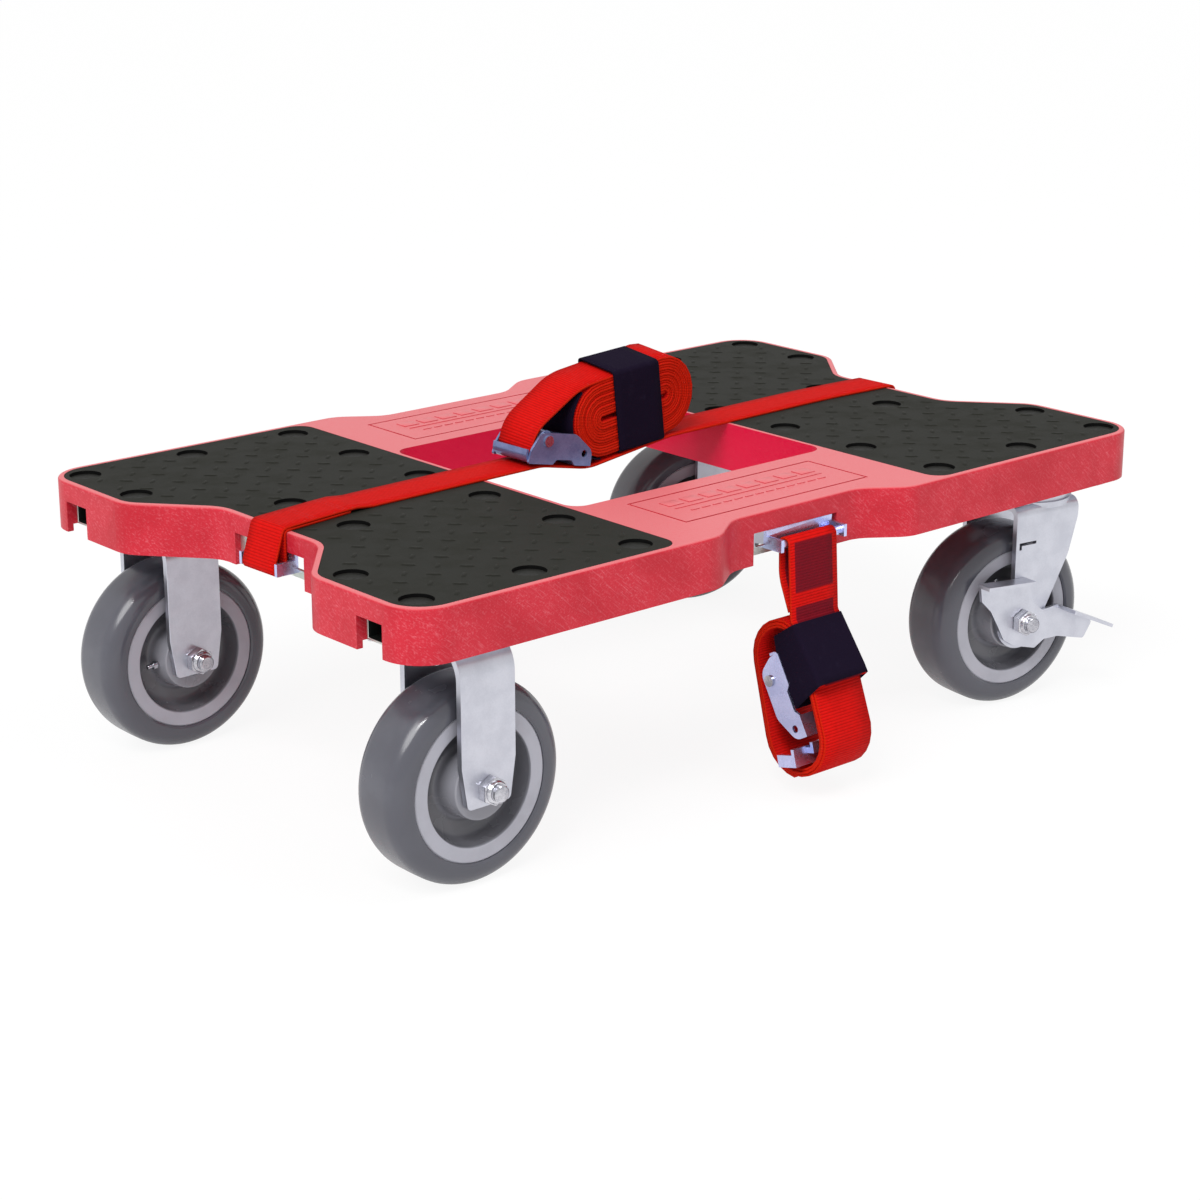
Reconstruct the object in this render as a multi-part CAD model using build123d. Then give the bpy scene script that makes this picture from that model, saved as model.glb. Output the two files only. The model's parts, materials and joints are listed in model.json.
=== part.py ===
from build123d import *
import os
from math import atan2, cos, degrees, radians, sin, sqrt, tan

# Platform dolly. X runs along the length, the rigid casters stand at -X and the swivel casters at +X,
# the front is -Y and Z is up. The origin is on the floor under the middle of the deck.
# All sizes are in millimetres.

# Wheels
WHEEL_DIAMETER = 152.4
TREAD_WIDTH = 50.8
TYRE_SHOULDER = 14.0
TYRE_DEPTH = 18.4
RIM_FACE = 10.5
RIM_INSET = 1.2
WEB_THICKNESS = 14.0
HUB_DIAMETER = 54.0
HUB_PROUD = 2.4
HUB_SIDE_GAP = 1.4
BEARING_DIAMETER = 30.0
BUSH_DIAMETER = 19.0
AXLE_DIAMETER = 12.7
NIPPLE_DIAMETER = 5.0
NIPPLE_LENGTH = 9.0
NIPPLE_DEPTH = 5.0
NIPPLE_TURNS = {"front_left": 85.0, "rear_left": -5.0, "front_right": 68.0, "rear_right": 140.0}
HUB_EDGE = 2.0
WEB_FILLET = 4.0
RIM_EDGE = 1.5
BEARING_INSET = 1.0
RUNNING_FIT = 0.05
HEX_RATIO = 1.5
BOLT_HEX_RATIO = 1.6
HEAD_RATIO = 0.65
NUT_RATIO = 0.85

# Casters
CASTER_HEADROOM = 38.1
PLATE_LENGTH = 114.0
PLATE_WIDTH = 92.0
PLATE_THICKNESS = 6.0
PLATE_CORNER = 8.0
BOLT_PITCH_LENGTH = 89.0
BOLT_PITCH_WIDTH = 66.0
BOLT_DIAMETER = 8.0
BOLT_GRIP = 14.0
INSERT_WALL = 2.5
LEG_THICKNESS = 5.0
RIGID_BEND = 26.0
RIGID_LEG_WIDTH = 48.0
RIGID_FOOT_WIDTH = 38.0
RIGID_TAPER = 20.0
RIGID_ROUND = 12.0
FOOT_DROP = 12.0
FOOT_ROUND = 4.0
NUT_PROUD = 4.0
SWIVEL_BEND = 9.0
SWIVEL_TRAIL = 34.0
SWIVEL_TURN_FRONT = -8.7
SWIVEL_TURN_REAR = -16.0
SWIVEL_BACK = 7.0
SWIVEL_KNEE = 30.0
SWIVEL_FRONT = 59.0
SWIVEL_SHOULDER = 82.0
SWIVEL_SHIN = 50.0
SWIVEL_FOOT_RADIUS = 24.0
SWIVEL_ROUND = 20.0
SWIVEL_RIM = 2.0
KINGPIN_DIAMETER = 16.0
KINGPIN_HEAD = 7.0
KINGPIN_GAP = 0.3
BALL_DIAMETER = 8.0
BALL_COUNT = 16
RACE_DIAMETER = 50.0
RACE_WIDTH = 16.0
RACE_HEIGHT = 3.5
RACE_GAP = 4.0
BRAKE_THICKNESS = 3.0
BRAKE_GAP = 0.3
BRAKE_ROUND = 3.0
BRAKE_FLANGE = 11.0
PEDAL_DEPTH = 22.0
LEVER_SLOT = 18.0
LEVER_SLOT_DROP = 6.0
LEVER_SLOT_WIDTH = 2.5
LEVER_SLOT_BACK = 3.5
LEVER_SLOT_RISE = 66.5

# Deck
DECK_LENGTH = 762.0
DECK_WIDTH = 475.0
DECK_THICKNESS = 40.0
PLATE_RECESS = 5.5
WALL = 5.0
SKIN = 5.0
EDGE_RADIUS = 2.0
CORNER_RADIUS = 32.0
WAIST_RADIUS = 30.0
END_WAIST_DEPTH = 49.0
END_WAIST_RUN = 58.0
END_WAIST_MARGIN = 1.0
SIDE_WAIST_DEPTH = 24.5
SIDE_WAIST_RUN = 34.0
SIDE_WAIST_MARGIN = 6.0
OPENING_LENGTH = 266.0
OPENING_WIDTH = 225.0
OPENING_RADIUS = 14.0
RIB_THICKNESS = 4.0
RIB_DEPTH = 20.0
PAD_MARGIN = 2.0
CASTER_END_INSET = 78.0
RIGID_SIDE_INSET = 53.5
SWIVEL_SIDE_INSET = 51.5
GROOVE_WIDTH = 1.8
GROOVE_DEPTH = 0.7
PANEL_LENGTH = 190.0
PANEL_WIDTH = 62.0

# Tread mats and their push rivets
MAT_THICKNESS = 3.0
MAT_RIM = 5.0
MAT_SETBACK = 3.5
MAT_CORNER = 15.0
MAT_CLEARANCE = 0.3
DIMPLE_DIAMETER = 25.0
DIMPLE_DEPTH = 1.8
DIMPLE_CLEARANCE = 0.3
DIMPLE_END_INSET = 23.0
DIMPLE_SIDE_INSET = 26.0
DIMPLE_INNER_INSET = 24.5
DIMPLE_WAIST_Y = 40.0
DIMPLE_END_ROW = 0.65
DIMPLE_INNER_ROW = 0.6
RIVET_SHANK = 8.0

# Track plates behind the notches
NOTCH_WIDTH = 88.0
NOTCH_HEIGHT = 25.0
TRACK_LAP = 7.0
TRACK_THICKNESS = 3.0
TRACK_BOTTOM = 6.0
TRACK_HEADROOM = 1.0
TRACK_CORNER = 5.0
SLOT_WIDTH = 76.0
SLOT_HEIGHT = 11.0
SLOT_RISE = 17.5
SCREW_DIAMETER = 4.0
SCREW_BITE = 3.5

# Push-bar socket tubes
SOCKET_WIDTH = 28.6
SOCKET_HEIGHT = 19.0
SOCKET_WALL = 1.5
SOCKET_DEPTH = 45.0
SOCKET_MOUTH = 8.5
SOCKET_SIDE_INSET = 49.0

# Straps
TOP_WIDTH = 38.0
SIDE_WIDTH = 50.0
WEBBING_THICKNESS = 2.0
WEBBING_GAP = 0.3
STRAP_Y = 15.0
STRAP_SLANT = 1.8
STRAP_SAG = 10.5
STRAP_BEND = 5.0
STRAP_CURVE = 60.0
STRAP_KINK_X = 255.0
STRAP_KINK_RADIUS = 400.0
STRAP_TURN_LEFT = 6.7
STRAP_TURN_RIGHT = 4.3
FITTING_THICKNESS = 3.0
FITTING_BAR = 7.0
FITTING_REACH = 12.0
TOP_TONGUE = 30.0
SIDE_TONGUE = 40.0
TONGUE_GAP = 0.5
TOP_EAR_GAP = 2.0
SIDE_EAR_GAP = 7.0
BUCKLE_EASE = 1.0
BUCKLE_WALL = 2.0
BUCKLE_TILT = 11.8
BUCKLE_X = -60.3
BUCKLE_FRONT = 34.0
BUCKLE_BACK = 33.6
BUCKLE_HEIGHT = 25.0
BUCKLE_REAR_FOOT = 17.3
BUCKLE_GAP = 24.0
BUCKLE_LIFT = 1.0
CHEEK_EDGE = 1.5
CHEEK_SHOULDER = 10.0
HOLE_INSET = 8.4
HOLE_RISE = 9.8
LIP_REACH = 1.5
LIP_HEIGHT = 11.0
LIP_BEND = 7.0
PIN_DIAMETER = 6.0
PIVOT_X = -16.0
PIVOT_Z = 18.5
CAM_DIAMETER = 16.0
LEVER_LENGTH = 24.0
LEVER_THICKNESS = 4.0
ROLL_LENGTH = 134.0
ROLL_HEIGHT = 64.5
ROLL_FLARE = 5.0
ROLL_X = 24.3
ROLL_LIFT = 2.0
ROLL_REST = 41.0
BAND_WIDTH = 49.5
BAND_SHIFT = 3.7
BAND_THICKNESS = 1.5
RUN_LEAN = 4.0
RUN_RISE = 25.0
RUN_TOP = 40.0
RUN_RADIUS = 30.0
HANK_WALL = 8.0
HANK_ROOM = 37.0
HANK_SLACK = 27.0
HANK_GAP = 1.0
HANK_LEAN = 14.6
HANK_X = 6.0
HANK_DROP = 118.5
HANK_SWING = 8.0
HANK_SAG = 4.7
HANK_LEAD = 42.0
HANK_BELLY = 16.0
HANK_PEAK = 3.8
HANK_PEAK_ROUND = 6.0
HANK_BAND_LOW = 10.0
HANK_BAND_TOP = 24.0
HANK_BAND_CUT = 56.0
SIDE_BUCKLE_TURN = 15.4
SIDE_BUCKLE_RISE = 2.0
SIDE_BUCKLE_FORWARD = 7.5

# Heights and places that follow
AXLE_Z = WHEEL_DIAMETER / 2
PLATE_TOP = WHEEL_DIAMETER + CASTER_HEADROOM
PLATE_BOTTOM = PLATE_TOP - PLATE_THICKNESS
DECK_BOTTOM = PLATE_TOP - PLATE_RECESS
DECK_TOP = DECK_BOTTOM + DECK_THICKNESS
CEILING = DECK_TOP - MAT_THICKNESS - SKIN
HALF_LENGTH = DECK_LENGTH / 2
HALF_WIDTH = DECK_WIDTH / 2
END_FACE = HALF_LENGTH - END_WAIST_DEPTH
SIDE_FACE = HALF_WIDTH - SIDE_WAIST_DEPTH
CASTER_X = HALF_LENGTH - CASTER_END_INSET
RIGID_Y = HALF_WIDTH - RIGID_SIDE_INSET
SWIVEL_Y = HALF_WIDTH - SWIVEL_SIDE_INSET
LEG_INNER = TREAD_WIDTH / 2 + HUB_PROUD + HUB_SIDE_GAP
LEG_OUTER = LEG_INNER + LEG_THICKNESS
CORE_RADIUS = AXLE_Z - TYRE_DEPTH
HUB_HALF = TREAD_WIDTH / 2 + HUB_PROUD
AXLE_HEX = HEX_RATIO * AXLE_DIAMETER
NUT_HEIGHT = NUT_RATIO * AXLE_DIAMETER
HEAD_HEIGHT = HEAD_RATIO * AXLE_DIAMETER
BRAKE_FACE = LEG_OUTER + BRAKE_GAP + BRAKE_THICKNESS
LOWER_RACE_TOP = PLATE_BOTTOM - RACE_HEIGHT - RACE_GAP
FORK_TOP = LOWER_RACE_TOP - RACE_HEIGHT
BALL_Z = PLATE_BOTTOM - RACE_HEIGHT - RACE_GAP / 2
TRACK_WIDTH = NOTCH_WIDTH + 2 * TRACK_LAP
SLOT_Z = DECK_BOTTOM + SLOT_RISE
TRACK_TOP_Z = CEILING - TRACK_HEADROOM
MAT_INNER_X = OPENING_LENGTH / 2 + MAT_SETBACK
SOCKET_Y = HALF_WIDTH - SOCKET_SIDE_INSET
SOCKET_TOP = PLATE_TOP + SOCKET_HEIGHT
STRAP_Z = DECK_TOP + WEBBING_THICKNESS / 2
SAG_Z = STRAP_Z - STRAP_SAG
BAR_DROP = SLOT_HEIGHT / 2 - FITTING_THICKNESS / 2
BAR_Z = SLOT_Z - BAR_DROP
END_BAR_X = END_FACE - WALL + FITTING_REACH
SIDE_BAR_Y = SIDE_FACE - WALL + FITTING_REACH
LOW_X = BUCKLE_X + BUCKLE_BACK
REST_X = ROLL_X + ROLL_REST
ROLL_TILT = degrees(atan2(STRAP_SAG, REST_X - LOW_X))
WEBBING_LIFT = WEBBING_THICKNESS / 2 + WEBBING_GAP
ROLL_OFFSET = (WEBBING_LIFT + ROLL_LIFT + ROLL_HEIGHT / 2) / cos(radians(ROLL_TILT))
ROLL_Z = SAG_Z + STRAP_SAG * (ROLL_X - LOW_X) / (REST_X - LOW_X) + ROLL_OFFSET
BUCKLE_Z = SAG_Z + WEBBING_LIFT + BUCKLE_BACK * sin(radians(BUCKLE_TILT)) + BUCKLE_LIFT
LIP_X = -BUCKLE_FRONT - LIP_REACH
FITTING_LOW = -BAR_DROP - FITTING_BAR / 2
FITTING_HIGH = SLOT_HEIGHT / 2 + FITTING_BAR / 2
FITTING_LIP = TRACK_THICKNESS + FITTING_THICKNESS
BUCKLE_LENGTH = BUCKLE_BACK - LIP_X
HANK_HEIGHT = BUCKLE_LENGTH + HANK_ROOM + 2 * HANK_WALL
HANK_DEPTH = BUCKLE_HEIGHT + HANK_SLACK + 2 * HANK_WALL
HANK_STRAIGHT = (HANK_HEIGHT - HANK_DEPTH) / 2
HANK_Y = -SIDE_BAR_Y - HANK_SWING
HANK_Z = BAR_Z - HANK_DROP
HANK_SLOPE = atan2(HANK_DEPTH / 2 - HANK_PEAK, HANK_STRAIGHT + HANK_DEPTH / 2 - HANK_BELLY)


def block(x0, x1, y0, y1, z0, z1):
    """Box between two corners."""
    return Pos((x0 + x1) / 2, (y0 + y1) / 2, (z0 + z1) / 2) * Box(x1 - x0, y1 - y0, z1 - z0)


def rod_x(radius, x0, x1, y, z):
    """Round bar along X."""
    return Pos((x0 + x1) / 2, y, z) * Rot(0, 90, 0) * Cylinder(radius, x1 - x0)


def rod_y(radius, y0, y1, x, z):
    """Round bar along Y."""
    return Pos(x, (y0 + y1) / 2, z) * Rot(90, 0, 0) * Cylinder(radius, y1 - y0)


def rod_z(radius, z0, z1, x, y):
    """Round bar along Z."""
    return Pos(x, y, (z0 + z1) / 2) * Cylinder(radius, z1 - z0)


def hex_y(across, y0, y1, x, z):
    """Hexagon bar along Y, with its size across flats."""
    bar = extrude(RegularPolygon(across / 2, 6, major_radius=False), (y1 - y0) / 2, both=True)
    return Pos(x, (y0 + y1) / 2, z) * Rot(90, 0, 0) * bar


def side_plate(points, y0, y1, radius=0.0):
    """Plate cut to an outline in X and Z, between two Y values."""
    outline = make_face(FilletPolyline(*points, radius=radius, close=True))
    return Pos(0, (y0 + y1) / 2, 0) * extrude(Plane.XZ * outline, (y1 - y0) / 2, both=True)


def ring_y(points, radii):
    """Solid turned about Y from an outline of radius and Y."""
    return revolve(make_face(FilletPolyline(*points, radius=radii, close=True)), Axis.Y)


def join(pieces):
    """One piece made of several that touch or overlap."""
    whole = pieces[0]
    for piece in pieces[1:]:
        whole = whole + piece
    return whole


def group(pieces):
    """Separate solids kept in one node."""
    return Compound(children=[solid for piece in pieces for solid in piece.solids()])


# Deck outline and mats

def waist_corner(depth, run):
    """Length from the waist's corner to where its rounding meets the flat."""
    return WAIST_RADIUS * tan(atan2(depth, run) / 2)


def deck_face():
    """Plan of the deck: a rectangle drawn in at the middle of each side."""
    flat_end = TRACK_WIDTH / 2 + END_WAIST_MARGIN + waist_corner(END_WAIST_DEPTH, END_WAIST_RUN)
    flat_side = TRACK_WIDTH / 2 + SIDE_WAIST_MARGIN + waist_corner(SIDE_WAIST_DEPTH, SIDE_WAIST_RUN)
    quarter = [
        (END_FACE, flat_end, WAIST_RADIUS),
        (HALF_LENGTH, flat_end + END_WAIST_RUN, WAIST_RADIUS),
        (HALF_LENGTH, HALF_WIDTH, CORNER_RADIUS),
        (flat_side + SIDE_WAIST_RUN, HALF_WIDTH, WAIST_RADIUS),
        (flat_side, SIDE_FACE, WAIST_RADIUS),
    ]
    whole = list(quarter)
    whole += [(-x, y, r) for x, y, r in reversed(quarter)]
    whole += [(-x, -y, r) for x, y, r in quarter]
    whole += [(x, -y, r) for x, y, r in reversed(quarter)]
    path = FilletPolyline(*[(x, y) for x, y, r in whole], radius=[r for x, y, r in whole], close=True)
    return make_face(path)


def mat_face(growth=0.0):
    """Plan of the right-hand mat: the deck's plan less its rim, cut straight beside the opening."""
    inner = MAT_INNER_X - growth
    cut = Pos(inner + HALF_LENGTH / 2, 0) * Rectangle(HALF_LENGTH, DECK_WIDTH)
    face = offset(deck_face(), amount=growth - MAT_RIM) & cut
    corners = face.vertices().filter_by_position(Axis.X, inner - 0.01, inner + 0.01)
    return fillet(corners, MAT_CORNER)


def dimple_places():
    """Middles of the right-hand mat's dimples."""
    end = HALF_LENGTH - DIMPLE_END_INSET
    side = HALF_WIDTH - DIMPLE_SIDE_INSET
    inner = MAT_INNER_X + DIMPLE_INNER_INSET
    waist = END_FACE - DIMPLE_END_INSET - DIMPLE_DIAMETER
    row = [(end, side), ((end + inner) / 2, side), (inner, side)]
    row += [(end, DIMPLE_END_ROW * side), (inner, DIMPLE_INNER_ROW * side)]
    row += [(inner, DIMPLE_WAIST_Y), (waist, DIMPLE_WAIST_Y)]
    return [(x, s * y) for x, y in row for s in (1, -1)]


def tread_mat(turn):
    """One mat with its dimple holes."""
    mat = Pos(0, 0, DECK_TOP - MAT_THICKNESS) * extrude(mat_face(), MAT_THICKNESS)
    for x, y in dimple_places():
        mat -= rod_z(DIMPLE_DIAMETER / 2, DECK_TOP - 2 * MAT_THICKNESS, DECK_TOP + 1, x, y)
    return Rot(0, 0, turn) * mat


def mat_rivets():
    """Broad flat rivets sunk in the dimples."""
    head_top = DECK_TOP - DIMPLE_DEPTH
    floor = DECK_TOP - MAT_THICKNESS
    rivets = []
    for turn in (0, 180):
        for x, y in dimple_places():
            head = rod_z(DIMPLE_DIAMETER / 2 - DIMPLE_CLEARANCE, floor, head_top, x, y)
            rivets.append(Rot(0, 0, turn) * (head + rod_z(RIVET_SHANK / 2, CEILING, floor, x, y)))
    return group(rivets)


# Places that repeat round the deck

def four_corners():
    """Signs of the four corners."""
    return [(sx, sy) for sx in (-1, 1) for sy in (-1, 1)]


def caster_y(end):
    """Distance of the casters at one end from the middle line: the rigid ones at -1, the swivels at 1."""
    return RIGID_Y if end < 0 else SWIVEL_Y


def caster_holes():
    """Middles of all caster bolts."""
    plates = [(sx * CASTER_X, sy * caster_y(sx)) for sx, sy in four_corners()]
    return [(x + hx, y + hy) for x, y in plates for hx, hy in plate_holes()]


def plate_holes():
    """Middles of one caster plate's bolt holes."""
    return [(sx * BOLT_PITCH_LENGTH / 2, sy * BOLT_PITCH_WIDTH / 2) for sx, sy in four_corners()]


def to_track(side):
    """Location of a track's slot middle, with its outward side at local -Y."""
    places = {
        "front": Pos(0, WALL - SIDE_FACE, SLOT_Z),
        "rear": Pos(0, SIDE_FACE - WALL, SLOT_Z) * Rot(0, 0, 180),
        "left": Pos(WALL - END_FACE, 0, SLOT_Z) * Rot(0, 0, -90),
        "right": Pos(END_FACE - WALL, 0, SLOT_Z) * Rot(0, 0, 90),
    }
    return places[side]


TRACK_SIDES = ("front", "rear", "left", "right")


# Deck

def deck_hollow():
    """Space under the deck's skin, inside its walls and outside the opening's walls."""
    height = CEILING - DECK_BOTTOM
    space = Pos(0, 0, DECK_BOTTOM) * extrude(offset(deck_face(), amount=-WALL), height)
    walled = RectangleRounded(OPENING_LENGTH + 2 * WALL, OPENING_WIDTH + 2 * WALL, OPENING_RADIUS + WALL)
    return space - Pos(0, 0, DECK_BOTTOM) * extrude(walled, height)


def deck_ribs():
    """Ribs that hang from the skin, and solid pads over the caster plates."""
    low = CEILING - RIB_DEPTH
    half = RIB_THICKNESS / 2
    pad_x = CASTER_X - PLATE_LENGTH / 2 - PAD_MARGIN
    rail_y = (OPENING_WIDTH / 2 + WALL + RIGID_Y - PLATE_WIDTH / 2 - PAD_MARGIN) / 2
    end_x = (OPENING_LENGTH / 2 + WALL + pad_x) / 2
    ribs = []
    for s in (-1, 1):
        ribs.append(block(-pad_x, pad_x, s * rail_y - half, s * rail_y + half, low, CEILING))
        ribs.append(block(s * end_x - half, s * end_x + half, -HALF_WIDTH, HALF_WIDTH, low, CEILING))
        ribs.append(block(s * pad_x - half, s * pad_x + half, -HALF_WIDTH, HALF_WIDTH, low, CEILING))
        for x in (-OPENING_LENGTH / 3, OPENING_LENGTH / 3):
            y0, y1 = sorted((s * OPENING_WIDTH / 2, s * rail_y))
            ribs.append(block(x - half, x + half, y0, y1, low, CEILING))
    for sx, sy in four_corners():
        x0, x1 = sorted((sx * pad_x, sx * HALF_LENGTH))
        pad_y = caster_y(sx) - PLATE_WIDTH / 2 - PAD_MARGIN
        y0, y1 = sorted((sy * pad_y, sy * HALF_WIDTH))
        ribs.append(block(x0, x1, y0, y1, PLATE_TOP, CEILING))
    return join(ribs)


def rail_grooves():
    """Plain engraved border of the panel on each rail."""
    y_mid = (OPENING_WIDTH / 2 + SIDE_FACE) / 2
    panel = Rectangle(PANEL_LENGTH, PANEL_WIDTH)
    border = Rectangle(PANEL_LENGTH + 2 * GROOVE_WIDTH, PANEL_WIDTH + 2 * GROOVE_WIDTH) - panel
    groove = extrude(border, GROOVE_DEPTH)
    return [Pos(0, s * y_mid, DECK_TOP - GROOVE_DEPTH) * groove for s in (-1, 1)]


def deck():
    """Moulded deck: a skin with walls all round, open underneath."""
    body = Pos(0, 0, DECK_BOTTOM) * extrude(deck_face(), DECK_THICKNESS)
    body = fillet(body.faces().sort_by(Axis.Z)[-1].edges(), EDGE_RADIUS)
    hollow = deck_hollow()
    body -= hollow
    body += deck_ribs() & hollow
    opening = extrude(RectangleRounded(OPENING_LENGTH, OPENING_WIDTH, OPENING_RADIUS), 2 * DECK_THICKNESS)
    body -= Pos(0, 0, DECK_BOTTOM - DECK_THICKNESS / 2) * opening
    recess = Pos(0, 0, DECK_TOP - MAT_THICKNESS) * extrude(mat_face(MAT_CLEARANCE), MAT_THICKNESS + 1)
    for turn in (0, 180):
        body -= Rot(0, 0, turn) * recess
        for x, y in dimple_places():
            body -= Rot(0, 0, turn) * rod_z(RIVET_SHANK / 2, CEILING - RIB_DEPTH, DECK_TOP, x, y)
    half = NOTCH_WIDTH / 2
    lap = TRACK_WIDTH / 2
    low = TRACK_BOTTOM - SLOT_RISE
    for side in TRACK_SIDES:
        body -= to_track(side) * block(-half, half, -2 * WALL, 0, -SLOT_RISE - 1, NOTCH_HEIGHT - SLOT_RISE)
        body -= to_track(side) * block(-lap, lap, 0, TRACK_THICKNESS, low, TRACK_TOP_Z - SLOT_Z)
        for x in screw_places():
            body -= to_track(side) * rod_y(SCREW_DIAMETER / 2, -SCREW_BITE, 0, x, screw_z())
    for sx, sy in four_corners():
        half = SOCKET_WIDTH / 2
        x0, x1 = sorted((sx * (HALF_LENGTH + 1), sx * (HALF_LENGTH - SOCKET_DEPTH)))
        body -= block(x0, x1, sy * SOCKET_Y - half, sy * SOCKET_Y + half, DECK_BOTTOM - 1, SOCKET_TOP)
    for x, y in caster_holes():
        hole_top = PLATE_TOP + BOLT_GRIP + INSERT_WALL
        body -= rod_z(BOLT_DIAMETER / 2 + INSERT_WALL, PLATE_TOP, hole_top, x, y)
    for groove in rail_grooves():
        body -= groove
    return body


def screw_places():
    """Places of a track plate's screws along the plate."""
    return [s * (NOTCH_WIDTH + TRACK_LAP) / 2 for s in (-1, 1)]


def screw_z():
    """Height of the screws above the slot's middle."""
    return NOTCH_HEIGHT - SLOT_RISE - SCREW_DIAMETER


def track_plate(side):
    """Slotted steel plate behind a notch."""
    low = TRACK_BOTTOM - SLOT_RISE
    high = TRACK_TOP_Z - SLOT_Z
    plate = RectangleRounded(TRACK_WIDTH, high - low, TRACK_CORNER)
    plate = Pos(0, (low + high) / 2) * plate - RectangleRounded(SLOT_WIDTH, SLOT_HEIGHT, SLOT_HEIGHT / 4)
    solid = Pos(0, TRACK_THICKNESS, 0) * extrude(Plane.XZ * plate, TRACK_THICKNESS)
    for x in screw_places():
        solid -= rod_y(SCREW_DIAMETER / 2, -1, TRACK_THICKNESS + 1, x, screw_z())
    return to_track(side) * solid


def track_screws():
    """Pan-head screws that hold the track plates from inside."""
    screws = []
    for side in TRACK_SIDES:
        for x in screw_places():
            shank = rod_y(SCREW_DIAMETER / 2, -SCREW_BITE, TRACK_THICKNESS, x, screw_z())
            head = rod_y(0.85 * SCREW_DIAMETER, TRACK_THICKNESS, TRACK_THICKNESS + SCREW_DIAMETER / 2,
                         x, screw_z())
            screws.append(to_track(side) * (shank + head))
    return group(screws)


def socket_tubes():
    """Rectangular steel tubes that take the prongs of a push bar."""
    tubes = []
    for sx, sy in four_corners():
        x0, x1 = sorted((sx * (HALF_LENGTH - SOCKET_MOUTH), sx * (HALF_LENGTH - SOCKET_DEPTH)))
        y0 = sy * SOCKET_Y - SOCKET_WIDTH / 2
        y1 = sy * SOCKET_Y + SOCKET_WIDTH / 2
        outer = block(x0, x1, y0, y1, PLATE_TOP, SOCKET_TOP)
        inner = block(x0 - 1, x1 + 1, y0 + SOCKET_WALL, y1 - SOCKET_WALL,
                      PLATE_TOP + SOCKET_WALL, SOCKET_TOP - SOCKET_WALL)
        tubes.append(outer - inner)
    return group(tubes)


# Caster fasteners

def caster_bolts():
    """Hexagon bolts through the caster plates, from below."""
    bolts = []
    head_height = HEAD_RATIO * BOLT_DIAMETER
    across = BOLT_HEX_RATIO * BOLT_DIAMETER
    for x, y in caster_holes():
        head = extrude(RegularPolygon(across / 2, 6, major_radius=False), head_height)
        head = Pos(x, y, PLATE_BOTTOM - head_height) * head
        bolts.append(head + rod_z(BOLT_DIAMETER / 2, PLATE_BOTTOM, PLATE_TOP + BOLT_GRIP, x, y))
    return group(bolts)


def caster_inserts():
    """Threaded sleeves moulded into the pads."""
    sleeves = []
    top = PLATE_TOP + BOLT_GRIP + INSERT_WALL
    for x, y in caster_holes():
        sleeve = rod_z(BOLT_DIAMETER / 2 + INSERT_WALL, PLATE_TOP, top, x, y)
        sleeves.append(sleeve - rod_z(BOLT_DIAMETER / 2, PLATE_TOP, PLATE_TOP + BOLT_GRIP, x, y))
    return group(sleeves)


# Wheels, about an axle along Y at the origin

def tyre():
    """Polyurethane tread with rounded shoulders."""
    half = TREAD_WIDTH / 2
    points = [(CORE_RADIUS, -half), (AXLE_Z, -half), (AXLE_Z, half), (CORE_RADIUS, half)]
    return ring_y(points, [0, TYRE_SHOULDER, TYRE_SHOULDER, 0])


def nipple_axis_y():
    """Place of the grease nipple along the axle, in the dish on the front side."""
    return -(WEB_THICKNESS / 2 + HUB_HALF) / 2


def wheel_core():
    """Moulded core: rim, web and hub."""
    bore = BEARING_DIAMETER / 2
    hub = HUB_DIAMETER / 2
    rim = CORE_RADIUS - RIM_FACE
    face = TREAD_WIDTH / 2 - RIM_INSET
    web = WEB_THICKNESS / 2
    half = [(bore, HUB_HALF, 0), (hub, HUB_HALF, HUB_EDGE), (hub, web, WEB_FILLET), (rim, web, WEB_FILLET),
            (rim, face, RIM_EDGE), (CORE_RADIUS, face, 0)]
    outline = half + [(r, -y, f) for r, y, f in reversed(half)]
    core = ring_y([(r, y) for r, y, f in outline], [f for r, y, f in outline])
    hole = rod_x(NIPPLE_DIAMETER / 2, -hub - NIPPLE_DEPTH, NIPPLE_DEPTH - hub, nipple_axis_y(), 0)
    return core - hole


def roller_bearing():
    """Roller bearing as one ring, pressed in the core."""
    inner = BUSH_DIAMETER / 2 + RUNNING_FIT
    outer = BEARING_DIAMETER / 2
    half = HUB_HALF - BEARING_INSET
    edge = BEARING_INSET
    return ring_y([(inner, -half), (outer, -half), (outer, half), (inner, half)], [edge, 0, 0, edge])


def grease_nipple():
    """Nipple screwed radially into the hub."""
    hub = HUB_DIAMETER / 2
    y = nipple_axis_y()
    radius = NIPPLE_DIAMETER / 2
    shank = rod_x(radius, -hub - 0.3 * NIPPLE_LENGTH, NIPPLE_DEPTH - hub, y, 0)
    collar = rod_x(1.4 * radius, -hub - 0.5 * NIPPLE_LENGTH, -hub - 0.1 * NIPPLE_LENGTH, y, 0)
    tip = rod_x(0.7 * radius, -hub - NIPPLE_LENGTH, -hub - 0.3 * NIPPLE_LENGTH, y, 0)
    return join([shank, collar, tip])


def axle_bush():
    """Sleeve between the fork's legs that the bearing runs on."""
    tube = rod_y(BUSH_DIAMETER / 2, -LEG_INNER, LEG_INNER, 0, 0)
    return tube - rod_y(AXLE_DIAMETER / 2, -LEG_INNER - 1, LEG_INNER + 1, 0, 0)


def axle_bolt(seat):
    """Bolt with its head on the rear leg and its nut seated in front at -Y."""
    head = hex_y(AXLE_HEX, LEG_OUTER, LEG_OUTER + HEAD_HEIGHT, 0, 0)
    shank = rod_y(AXLE_DIAMETER / 2, -seat - NUT_HEIGHT - NUT_PROUD, LEG_OUTER, 0, 0)
    return head + chamfer(shank.edges().sort_by(Axis.Y)[0], 1)


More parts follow.
